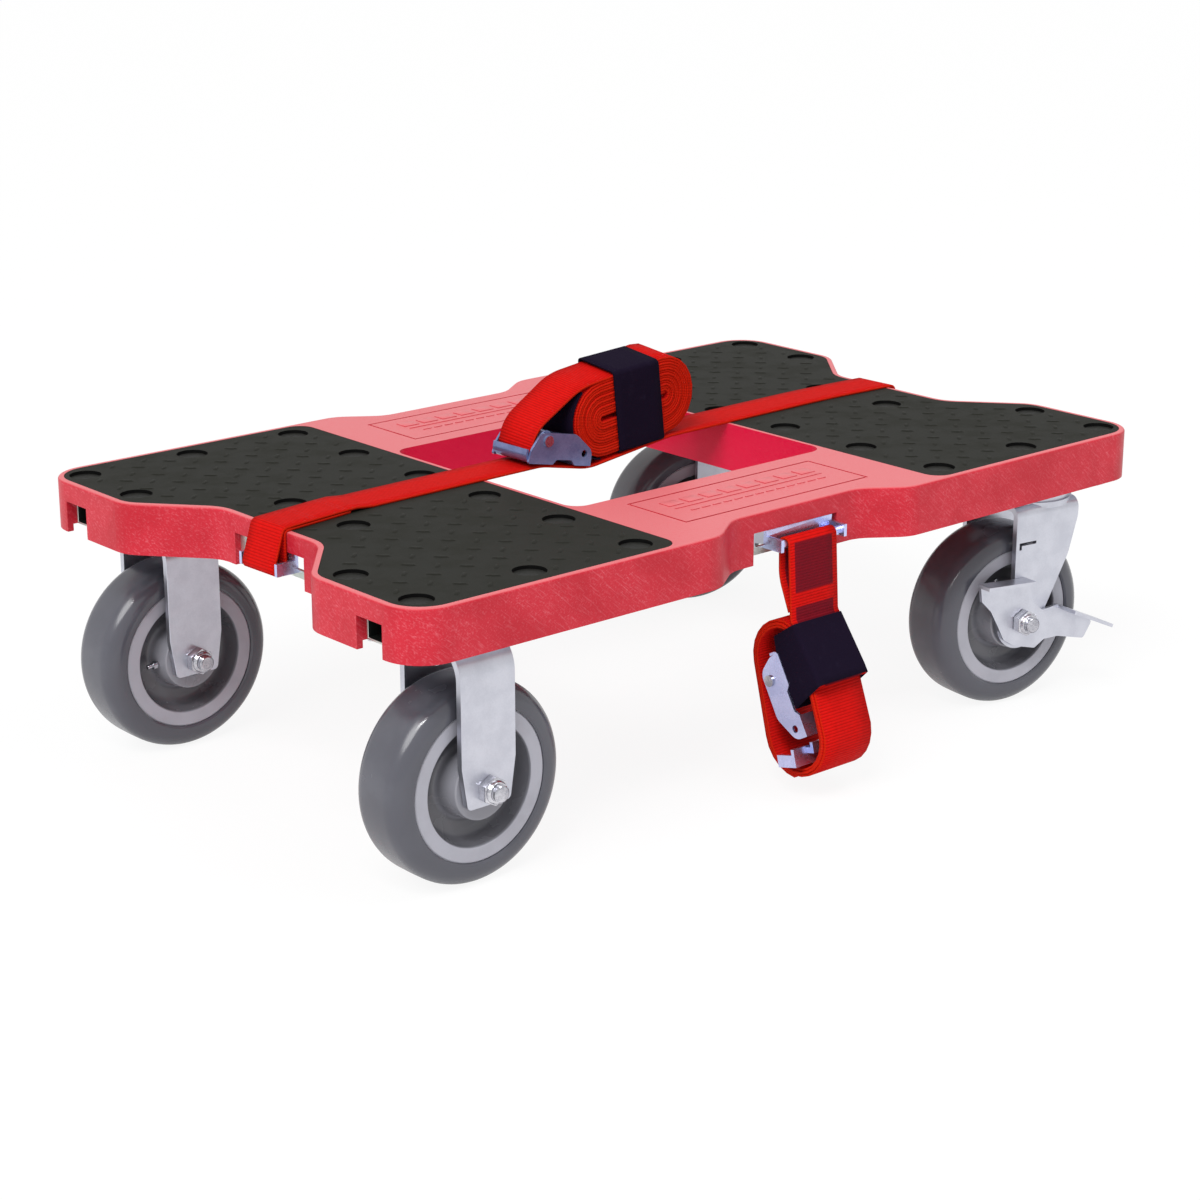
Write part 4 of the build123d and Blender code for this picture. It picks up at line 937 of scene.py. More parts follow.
@dataclass
class Deck:
    """The moulded deck with plain low blocks and lines on its rails."""

    rail_y: float = 162.75 * MM
    block_count: int = 8
    block_length: float = 15.0 * MM
    block_width: float = 12.0 * MM
    block_pitch: float = 20.0 * MM
    block_back: float = 12.0 * MM
    line_front: float = 0.5 * MM
    line_width: float = 1.6 * MM
    line_length: float = 155.0 * MM
    dash_count: int = 13
    dash_length: float = 8.0 * MM
    dash_pitch: float = 11.2 * MM
    dash_front: float = 11.0 * MM
    proud: float = 0.5 * MM

    def build(self) -> None:
        """Dresses the deck and adds the rails' marks."""
        paint("deck", DECK_PLASTIC)
        for name, side in (("front", -1.0), ("rear", 1.0)):
            self.rail_marks(name, side)

    def bar(self, bm: bmesh.types.BMesh, place: Vector, length: float, width: float) -> None:
        """Adds one low bar with soft edges.

        Args:
            bm: the mesh to add to.
            place: its middle on the deck's top.
            length: its length.
            width: its width.
        """
        made = bmesh.ops.create_cube(bm, size=1.0)["verts"]
        bmesh.ops.scale(bm, verts=made, vec=(length, width, 2.0 * self.proud))
        edges = dict.fromkeys(edge for vert in made for edge in vert.link_edges)
        bmesh.ops.translate(bm, verts=soften(bm, edges, self.proud / 2.0), vec=place)

    def rail_marks(self, name: str, side: float) -> None:
        """Builds the raised blocks and lines of one rail.

        Args:
            name: front or rear.
            side: sign of the rail along Y.
        """
        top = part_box("deck")[1].z
        middle = side * self.rail_y
        bm = bmesh.new()
        for x in spread(self.block_count, self.block_pitch):
            self.bar(bm, Vector((x, middle + self.block_back, top)), self.block_length, self.block_width)
        self.bar(bm, Vector((0.0, middle - self.line_front, top)), self.line_length, self.line_width)
        for x in spread(self.dash_count, self.dash_pitch):
            self.bar(bm, Vector((x, middle - self.dash_front, top)), self.dash_length, self.line_width)
        piece(f"rail_ribs_{name}", bm, DECK_PLASTIC, DECK_BODY)


@dataclass
class TreadMats:
    """Two tread mats with raised bars in a crossed pattern, and their sunk rivets."""

    pitch: float = 20.6 * MM
    bar_length: float = 14.5 * MM
    bar_width: float = 4.4 * MM
    bar_height: float = 0.6 * MM
    bar_turn: float = 45.0
    bar_sink: float = 0.2 * MM
    bar_crest: float = 0.62
    bar_sharp: float = 50.0
    dent: float = 0.1 * MM
    margin: float = 2.0 * MM
    strap_gap: float = 26.0 * MM
    rivet_radius: float = 12.3 * MM
    rivet_top: float = 222.5 * MM
    rivet_height: float = 0.5 * MM
    rivet_taper: float = 0.985
    rivet_sides: int = 28
    rivets: tuple[tuple[float, float], ...] = ((0.358, 0.2115), (0.2595, 0.2115), (0.161, 0.2115),
                                               (0.358, 0.1375), (0.161, 0.1269), (0.161, 0.040),
                                               (0.284, 0.040))

    def build(self) -> None:
        """Dresses the mats and adds their tread and rivets."""
        for side in ("left", "right"):
            paint(f"tread_mat_{side}", MAT_RUBBER)
            self.tread(side)
        self.rivet_heads()

    def rivet_heads(self) -> None:
        """Sinks the rivets' flat heads in the dimples."""
        bm = bmesh.new()
        for x, y in self.rivets:
            for sx, sy in ((1, 1), (1, -1), (-1, 1), (-1, -1)):
                place = Vector((sx * x, sy * y, self.rivet_top - self.rivet_height / 2.0))
                made = bmesh.ops.create_cone(bm, cap_ends=True, segments=self.rivet_sides,
                                             radius1=self.rivet_radius, radius2=self.rivet_radius,
                                             depth=self.rivet_height,
                                             matrix=Matrix.Translation(place))["verts"]
                top = [v for v in made if v.co.z > place.z]
                bmesh.ops.scale(bm, verts=top, vec=(self.rivet_taper, self.rivet_taper, 1.0),
                                space=Matrix.Translation(-place))
        piece("mat_rivet_heads", bm, RIVET_PLASTIC, DECK_BODY, ["mat_rivets"])

    def tread(self, side: str) -> None:
        """Lays the bars wherever a whole one fits on a mat.

        Args:
            side: left or right.
        """
        node = f"tread_mat_{side}"
        mesh = frame["nodes"][node].data
        surface = BVHTree.FromPolygons([v.co for v in mesh.vertices], [p.vertices for p in mesh.polygons])
        low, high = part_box(node)
        strap = TopStrap()
        reach = int((high - low).length / self.pitch)
        middle = (low + high) / 2.0
        bm = bmesh.new()
        for i in range(-reach, reach + 1):
            for j in range(-reach, reach + 1):
                turn = math.radians(self.bar_turn if (i + j) % 2 else -self.bar_turn)
                offset = Vector(((i + j) * self.pitch, (i - j) * self.pitch, 0.0)) * math.sqrt(0.5)
                place = Vector((middle.x + offset.x, offset.y, high.z))
                clear = abs(place.y - strap.middle_at(place.x)) > self.strap_gap
                if clear and self.fits(surface, place, turn):
                    self.bar(bm, place, turn)
        piece(f"tread_bars_{side}", bm, MAT_RUBBER, DECK_BODY, sharp=self.bar_sharp)

    def fits(self, surface: BVHTree, place: Vector, turn: float) -> bool:
        """Says whether a bar lies wholly on the mat's top.

        Args:
            surface: the mat's faces.
            place: the bar's middle.
            turn: its angle in radians.

        Returns:
            True where all of its outline is on the mat.
        """
        along = Matrix.Rotation(turn, 3, "Z") @ ALONG
        sideways = along.cross(UP)
        long = self.bar_length / 2.0 + self.margin
        wide = self.bar_width / 2.0 + self.margin
        for spot in (along * long, along * -long, sideways * wide, sideways * -wide):
            hit = surface.ray_cast(place + spot + UP * self.margin, -UP, 2.0 * self.margin)[0]
            if hit is None or hit.z < place.z - self.dent:
                return False
        return True

    def bar(self, bm: bmesh.types.BMesh, place: Vector, turn: float) -> None:
        """Adds one bar: a long hexagon drawn up and in.

        Args:
            bm: the mesh to add to.
            place: its middle on the mat.
            turn: its angle in radians.
        """
        made = bmesh.ops.create_circle(bm, cap_ends=True, segments=6, radius=0.5)["verts"]
        base = made[0].link_faces[0]
        bmesh.ops.scale(bm, verts=made, vec=(self.bar_length, self.bar_width / math.sin(math.pi / 3.0), 1.0))
        seat = Matrix.Translation(place - UP * self.bar_sink) @ Matrix.Rotation(turn, 4, "Z")
        bmesh.ops.transform(bm, verts=made, matrix=seat)
        grown = bmesh.ops.extrude_face_region(bm, geom=[base], use_keep_orig=True)["geom"]
        crest = verts_in(grown)
        bmesh.ops.translate(bm, verts=crest, vec=UP * (self.bar_height + self.bar_sink))
        shrink = Vector((self.bar_crest, self.bar_crest, 1.0))
        bmesh.ops.scale(bm, verts=crest, vec=shrink, space=Matrix.Translation(-place))
        faces = dict.fromkeys(face for vert in crest + made for face in vert.link_faces)
        bmesh.ops.recalc_face_normals(bm, faces=list(faces))


@dataclass
class StrapTracks:
    """The slotted track plates, their screws and the push-bar sockets."""

    edge: float = 0.4 * MM

    def build(self) -> None:
        """Dresses the plates, screws, sockets and the casters' fixings."""
        for side in ("front", "rear", "left", "right"):
            eased(f"track_plate_{side}", GALVANISED, self.edge)
        eased("handle_sockets", SOCKET_STEEL, self.edge)
        eased("track_screws", FASTENER, self.edge)
        eased("caster_bolts", FASTENER, self.edge)
        paint("caster_inserts", BEARING)


@dataclass
class Wheels:
    """Four wheels: tyre and dished core turned from their outlines, with the bearing and grease nipple
    eased.
    """

    corners: tuple[str, ...] = ("front_left", "rear_left", "front_right", "rear_right")
    radius: float = 76.2 * MM
    half: float = 25.4 * MM
    shoulder: float = 14.0 * MM
    crown: float = 0.35 * MM
    crown_round: float = 150.0 * MM
    lip: float = 1.6 * MM
    core_radius: float = 57.8 * MM
    core_inset: float = 1.2 * MM
    core_edge: float = 1.0 * MM
    rim_radii: tuple[float, float] = (46.4 * MM, 56.6 * MM)
    rim_edges: tuple[float, float] = (1.0 * MM, 0.6 * MM)
    dish_radii: tuple[float, float] = (27.6 * MM, 42.0 * MM)
    dish_half: float = 7.0 * MM
    dish_bends: tuple[float, float] = (5.0 * MM, 7.0 * MM)
    hub_radius: float = 25.0 * MM
    hub_edge: float = 1.5 * MM
    hub_proud: float = 2.4 * MM
    bore: float = 15.05 * MM
    bearing_edge: float = 0.3 * MM
    nipple_edge: float = 0.2 * MM
    steps: int = 112
    tyre_segments: int = 9
    core_segments: int = 6
    sharp: float = 40.0

    def build(self) -> None:
        """Builds each wheel on its axle."""
        for corner in self.corners:
            self.put(f"tyre_{corner}", self.tyre(), TREAD, corner)
            self.put(f"wheel_core_{corner}", self.core(), CORE, corner)
            eased(f"roller_bearing_{corner}", BEARING, self.bearing_edge)
            eased(f"grease_nipple_{corner}", FASTENER, self.nipple_edge)

    def put(self, node: str, bm: bmesh.types.BMesh, finish: Finish, corner: str) -> None:
        """Moves a piece that is turned about the Y axis to its corner's axle, in place of a node."""
        bmesh.ops.transform(bm, matrix=axle_place(corner), verts=bm.verts)
        piece(f"{node}_turned", bm, finish, BODY_OF[node], [node], self.sharp)

    def tyre(self) -> bmesh.types.BMesh:
        """Turns a tyre with round shoulders and a slightly crowned tread.

        Returns:
            The tyre about the Y axis.
        """
        half = [(self.core_radius, self.half - self.core_inset, 0.0),
                (self.core_radius + self.lip, self.half, self.core_edge),
                (self.radius - self.crown, self.half, self.shoulder)]
        outline = [(r, -y, b) for r, y, b in half] + [(self.radius, 0.0, self.crown_round)] + half[::-1]
        return turned_solid(outline, self.steps, self.tyre_segments)

    def core(self) -> bmesh.types.BMesh:
        """Turns a core: rim face, smooth dish and hub.

        Returns:
            The core about the Y axis.
        """
        rim = self.half - self.core_inset
        hub = self.half + self.hub_proud
        half = [(self.bore, hub, 0.0), (self.hub_radius, hub, self.hub_edge)]
        half += [(r, self.dish_half, b) for r, b in zip(self.dish_radii, self.dish_bends)]
        half += [(r, rim, b) for r, b in zip(self.rim_radii, self.rim_edges)]
        half.append((self.core_radius, rim - self.core_edge, 0.0))
        return turned_solid(half + [(r, -y, b) for r, y, b in half[::-1]], self.steps, self.core_segments)


@dataclass
class AxleEnds:
    """Lock nuts and threaded bolt ends on the axles."""

    flats: float = 19.05 * MM
    height: float = 10.8 * MM
    collar: float = 3.4 * MM
    collar_step: float = 1.2 * MM
    collar_radii: tuple[float, float] = (8.763 * MM, 7.62 * MM)
    collar_edges: tuple[float, float] = (0.6 * MM, 1.0 * MM)
    collar_steps: int = 40
    collar_segments: int = 4
    nut_edge: float = 0.5 * MM
    nut_sharp: float = 30.0
    sink: float = 0.2 * MM
    bolt: float = 6.35 * MM
    bolt_edge: float = 0.4 * MM
    proud: float = 4.0 * MM
    thread: float = 1.25 * MM
    root: float = 5.95 * MM
    crest: float = 6.5 * MM
    crest_share: float = 0.45
    thread_steps: int = 32
    thread_sharp: float = 60.0
    rigid_seat: float = 34.2 * MM
    swivel_seat: float = 37.8 * MM

    def build(self) -> None:
        """Builds the nuts and threads, and dresses the bolts and bushes."""
        rigid = [axle_place("front_left"), axle_place("rear_left")]
        self.nuts("rigid_axle_nuts", rigid, self.rigid_seat)
        self.threads("rigid_axle_threads", DECK_BODY, rigid, self.rigid_seat)
        eased("rigid_axle_bolts", FASTENER, self.bolt_edge)
        paint("rigid_axle_bushes", BEARING)
        for end in ("front", "rear"):
            places = [axle_place(f"{end}_right")]
            self.nuts(f"swivel_axle_nut_{end}", places, self.swivel_seat)
            self.threads(f"swivel_axle_threads_{end}", f"swivel_{end}", places, self.swivel_seat)
            eased(f"swivel_axle_bolt_{end}", FASTENER, self.bolt_edge)
            paint(f"swivel_axle_bush_{end}", BEARING)

    def nuts(self, node: str, places: Iterable[Matrix], seat: float) -> None:
        """Builds lock nuts: a hexagon with a round collar.

        Args:
            node: the node that they stand for.
            places: the axles' places.
            seat: distance from the wheel's middle to the face that the nut sits on.
        """
        whole = bmesh.new()
        body = self.height - self.collar
        corner = self.flats / math.sqrt(3.0)
        front = seat + body - self.sink
        foot, top = self.collar_radii
        outline = [(self.bolt, -front, 0.0), (foot, -front, 0.0),
                   (foot, -front - self.collar_step, self.collar_edges[0]),
                   (top, -front - self.collar, self.collar_edges[1]),
                   (self.bolt, -front - self.collar, 0.0)]
        upright = Matrix.Translation(BACK * -(seat + body / 2.0)) @ Matrix.Rotation(math.pi / 2.0, 4, "X")
        for place in places:
            hexagon = bmesh.new()
            bmesh.ops.create_cone(hexagon, cap_ends=True, segments=6, radius1=corner, radius2=corner,
                                  depth=body, matrix=upright)
            soften(hexagon, hexagon.edges, self.nut_edge)
            add_part(whole, hexagon, place)
            add_part(whole, turned_solid(outline, self.collar_steps, self.collar_segments), place)
        piece(f"{node}_locking", whole, FASTENER, BODY_OF[node], [node], self.nut_sharp)

    def threads(self, name: str, body: str, places: Sequence[Matrix], seat: float) -> None:
        """Builds the thread's crests on the bolt ends that stand out of the nuts.

        Args:
            name: the piece's name.
            body: the body that it rides on.
            places: the axles' places.
            seat: distance from the wheel's middle to the nut's seat.
        """
        whole = bmesh.new()
        start = seat + self.height - self.thread
        count = int(self.proud / self.thread) + 1
        for place in places:
            for i in range(count):
                y = -start - i * self.thread
                outline = [(self.root, y, 0.0), (self.crest, y - self.crest_share * self.thread, 0.0),
                           (self.root, y - 2.0 * self.crest_share * self.thread, 0.0)]
                add_part(whole, turned_solid(outline, self.thread_steps, 1), place)
        piece(name, whole, FASTENER, body, sharp=self.thread_sharp)


@dataclass
class Casters:
    """Forks, swivel heads and brakes with eased sheet-metal edges."""

    edge: float = 0.8 * MM

    def build(self) -> None:
        """Dresses the rigid and the swivel casters."""
        for end in ("front", "rear"):
            eased(f"rigid_fork_{end}", ZINC, self.edge)
            eased(f"swivel_plate_{end}", ZINC, self.edge)
            eased(f"swivel_fork_{end}", ZINC, self.edge)
            eased(f"brake_lever_{end}", ZINC, self.edge)
        paint("kingpins", BEARING)
        paint("swivel_balls", BEARING)


@dataclass
class CamBuckle:
    """A cam buckle with its lever and pin, pressed from plate."""

    name: str
    finish: Finish = BUCKLE
    edge: float = 0.45 * MM

    def build(self) -> None:
        """Dresses the frame, the lever and the track fittings of one strap."""
        eased(f"{self.name}_buckle_frame", self.finish, self.edge)
        eased(f"{self.name}_cam_lever", self.finish, self.edge)
        eased(f"{self.name}_fittings", PALE_BUCKLE, self.edge)


@dataclass
class TopStrap:
    """The strap over the deck: its hooked ends, the dip at its buckle and the rolled tail in its band."""

    middle_y: float = 15.0 * MM
    slant: float = 1.8
    width: float = 38.0 * MM
    thickness: float = 1.9 * MM
    deck_top: float = 225.0 * MM
    lift: float = 1.0 * MM
    lap: float = 2.0 * MM
    kink_x: float = 255.0 * MM
    kink_run: float = 25.0 * MM
    turn_left: float = 6.7
    turn_right: float = 4.3
    edge_x: float = 337.4 * MM
    bar_x: float = 339.0 * MM
    bar_z: float = 198.5 * MM
    bar_radius: float = 3.5 * MM
    bar_gap: float = 1.1 * MM
    loose: float = 4.5 * MM
    tail_drop: float = 11.0 * MM
    hem_x: float = 268.0 * MM
    hem_lap: float = 6.0 * MM
    hem_ramp: float = 16.0 * MM
    hem_bend: float = 30.0 * MM
    soft_bend: float = 60.0 * MM
    edge_bend: float = 5.0 * MM
    edge_ease: tuple[float, float] = (1.5 * MM, 1.0 * MM)
    end_bend: float = 3.0 * MM
    bend_share: float = 0.95
    stretch: float = 10.0 * MM
    hem_rows: tuple[float, ...] = (3.0, 6.5, 34.0, 38.0)
    stitch: tuple[float, float, float, float] = (0.6 * MM, 1.7 * MM, 0.3 * MM, 1.0)
    stitch_pitch: float = 2.1 * MM
    stitch_reach: int = 8
    stitch_z: float = 229.0 * MM
    dip_x: float = -26.7 * MM
    dip_start: float = -76.3 * MM
    dip: float = 10.5 * MM
    rest_x: float = 65.3 * MM
    run_x: float = -88.2 * MM
    run_z: float = 235.6 * MM
    run_rise: float = 19.0 * MM
    run_lean: float = 5.0 * MM
    run_top: float = -56.0 * MM
    run_end: float = -8.0 * MM
    roll_x: float = 24.3 * MM
    roll_z: float = 257.1 * MM
    roll_half: float = 34.75 * MM
    roll_radius: float = 31.3 * MM
    roll_flare: float = 5.0 * MM
    roll_pitch: float = 2.2 * MM
    roll_turns: float = 13.0
    roll_sway: float = 0.5 * MM
    sway_waves: tuple[float, float] = (2.3, 0.7)
    roll_columns: int = 3
    packing: float = 0.94
    band_from: float = -21.0 * MM
    band_width: float = 49.5 * MM
    band_thickness: float = 1.4 * MM
    band_gaps: tuple[float, float] = (1.4 * MM, 2.4 * MM)
    band_corner: float = 3.0 * MM
    band_skew: float = -0.06
    band_stretch: float = 9.0 * MM
    band_columns: int = 6
    band_weld: float = 0.01 * MM
    # the dark strip of painted shade under the free run
    shade_strip_share: float = 0.97
    shade_strip_gap: float = 1.7 * MM
    shade_strip_thickness: float = 1.0 * MM
    shade_strip_turns: tuple[int, ...] = tuple(range(125, 261, 9))

    def turn(self) -> Matrix:
        """The strap's slant across the deck, as a turn about Z."""
        return Matrix.Rotation(math.radians(self.slant), 4, "Z")

    def side_at(self, x: float) -> float:
        """How far the strap's middle line turns to the side.

        Args:
            x: the place along the strap.

        Returns:
            The distance to the side.
        """
        past = abs(x) - self.kink_x
        if past < self.kink_run:
            past = max(0.0, past + self.kink_run) ** 2 / (4.0 * self.kink_run)
        return -past * math.tan(math.radians(self.turn_left if x < 0.0 else self.turn_right))

    def middle_at(self, x: float) -> float:
        """Y of the strap's middle line at a place along the deck."""
        return self.middle_y + x * math.tan(math.radians(self.slant)) + self.side_at(x)

    def to_frame(self, x: float, y: float, z: float) -> Vector:
        """Turns a place along and across the strap and above the floor into the frame's coordinates."""
        return Vector((0.0, self.middle_y, 0.0)) + self.turn() @ Vector((x, y, z))

    def across(self) -> Vector:
        """Direction of the strap's width."""
        return self.turn() @ BACK

    def tilt(self) -> float:
        """The roll's tilt in radians, level with the strap that rises under it."""
        return math.atan2(self.dip, self.rest_x - self.dip_x)

    def on_roll(self, along: float, above: float) -> Vector:
        """A point in the strap's middle plane, given along and above the roll's middle.

        Args:
            along: distance along the roll.
            above: distance above its middle.

        Returns:
            The point in the frame.
        """
        tilt = self.tilt()
        x = self.roll_x + along * math.cos(tilt) - above * math.sin(tilt)
        z = self.roll_z + along * math.sin(tilt) + above * math.cos(tilt)
        return self.to_frame(x, 0.0, z)

    def seat(self) -> Matrix:
        """Place of the roll's middle, turned with the strap and tilted with its rise."""
        tilted = Matrix.Rotation(-self.tilt(), 4, "Y")
        return Matrix.Translation(self.on_roll(0.0, 0.0)) @ self.turn() @ tilted

    def flare(self, bm: bmesh.types.BMesh) -> None:
        """Raises what lies on the roll towards its back, where it is wound more loosely.

        Args:
            bm: the mesh, in the frame.
        """
        seat = self.seat()
        level = seat.inverted()
        for vert in bm.verts:
            spot = level @ vert.co
            share = (spot.y / self.width + 0.5) * (spot.z / self.roll_radius + 1.0) / 2.0
            vert.co = seat @ (spot + UP * (self.roll_flare * share))

    def build(self) -> None:
        """Builds the strap, its roll, its band and its stitches."""
        CamBuckle("top").build()
        self.strap()
        self.roll()
        self.band()
        self.painted_shade_strip()
        self.stitches()

    def strap(self) -> None:
        """Draws the strap from its sewn left loop over the deck to its right hook."""
        lay = self.deck_top + self.lift
        over = lay + self.lap
        wrap = self.bar_radius + self.bar_gap
        near = self.bar_x - wrap
        far = self.bar_x + wrap
        low = self.bar_z - wrap
        bend = self.bend_share * wrap
        corners = [(-self.hem_x, lay), (-near, lay), (-near, low), (-far - self.loose, low),
                   (self.edge_ease[0] - self.edge_x, over), (self.hem_lap - self.hem_x, over),
                   (self.hem_lap + self.hem_ramp - self.hem_x, lay), (self.dip_start, lay),
                   (self.dip_x, lay - self.dip), (self.rest_x, lay),
                   (self.edge_x - self.edge_ease[1], lay), (far, low), (near, low),
                   (near, self.deck_top - self.tail_drop)]
        radii = [self.end_bend, bend, bend, self.edge_bend, *[self.hem_bend] * 2, *[self.soft_bend] * 3,
                 self.edge_bend, bend, bend]
        line = divided(rounded([Vector((x, 0.0, z)) for x, z in corners], radii), self.stretch)
        path = [self.to_frame(p.x, self.side_at(p.x), p.z) for p in line]
        made = piece("top_strap_webbing", ribbon(path, self.across(), self.width), WEBBING, DECK_BODY,
                     ["top_strap"])
        thicken(made, self.thickness)
        length_of(path)

    def roll(self) -> None:
        """Winds the tail from the buckle over the roll's top and inwards."""
        winding = stadium_winding(self.roll_half, self.roll_radius, self.roll_pitch, self.roll_turns)
        run = [self.to_frame(self.run_x, 0.0, self.run_z),
               self.to_frame(self.run_x + self.run_lean, 0.0, self.run_z + self.run_rise),
               self.on_roll(self.run_top, self.roll_radius), self.on_roll(self.run_end, self.roll_radius)]
        path = rounded(run, [self.hem_bend, self.soft_bend], segments=8)
        across = self.across()
        per_turn = len(winding) / self.roll_turns
        quick, slow = self.sway_waves
        for i, point in enumerate(winding):
            sway = self.roll_sway * math.sin(quick * i / per_turn) * math.sin(slow * i / per_turn + 1.0)
            path.append(self.on_roll(point.x, point.y) + across * sway)
        bm = ribbon(path, across, self.width, self.roll_columns)
        self.flare(bm)
        made = piece("top_roll_webbing", bm, WEBBING, DECK_BODY, ["top_roll"])
        thicken(made, self.packing * self.roll_pitch)
        length_of(path)

    def band(self) -> None:
        """Draws the wrap band round the roll, a little askew."""
        half = self.width / 2.0 + self.band_gaps[0]
        tall = self.roll_radius + self.band_gaps[1]
        corners = [Vector((0.0, y * half, z * tall)) for y, z in ((-1, -1), (-1, 1), (1, 1), (1, -1))]
        loop = rounded(corners, [self.band_corner] * 4, closed=True, segments=5)
        loop = divided(loop + loop[:1], self.band_stretch)
        bm = ribbon(loop, ALONG, self.band_width, self.band_columns)
        bmesh.ops.remove_doubles(bm, verts=bm.verts, dist=self.band_weld)
        middle = self.band_from + self.band_width / 2.0
        skew = Matrix.Shear("YZ", 3, (0.0, self.band_skew)).to_4x4()
        place = self.seat() @ Matrix.Translation(ALONG * middle)
        bmesh.ops.transform(bm, verts=bm.verts, matrix=place @ skew)
        self.flare(bm)
        made = piece("top_band_wrap", bm, WRAP_BAND, DECK_BODY, ["top_band"])
        thicken(made, self.band_thickness)
        length_of(loop)

    def painted_shade_strip(self) -> None:
        """Draws a dark strip in the band's finish round the roll's left end, as painted shade under the free
        run.
        """
        reach = self.roll_radius + self.shade_strip_gap
        width = self.shade_strip_share * self.width
        path = []
        for degrees in self.shade_strip_turns:
            turn = math.radians(degrees)
            path.append(self.on_roll(reach * math.cos(turn) - self.roll_half, reach * math.sin(turn)))
        bm = ribbon(path, self.across(), width)
        self.flare(bm)
        made = piece("top_painted_shade_strip", bm, WRAP_BAND, DECK_BODY)
        thicken(made, self.shade_strip_thickness)
        length_of(path)

    def stitches(self) -> None:
        """Sews the left hem with rows of stitches across the strap."""
        bm = bmesh.new()
        for inset in self.hem_rows:
            for i in range(-self.stitch_reach, self.stitch_reach + 1):
                x = -self.hem_x - (inset + 0.5 * math.sin(2.0 * i + inset)) * MM
                place = self.to_frame(x, self.side_at(x) + i * self.stitch_pitch, self.stitch_z)
                seat = Matrix.Translation(place) @ Matrix.Diagonal(self.stitch)
                bmesh.ops.create_icosphere(bm, subdivisions=1, radius=0.5, matrix=seat)
        piece("top_strap_stitches", bm, THREAD, DECK_BODY)


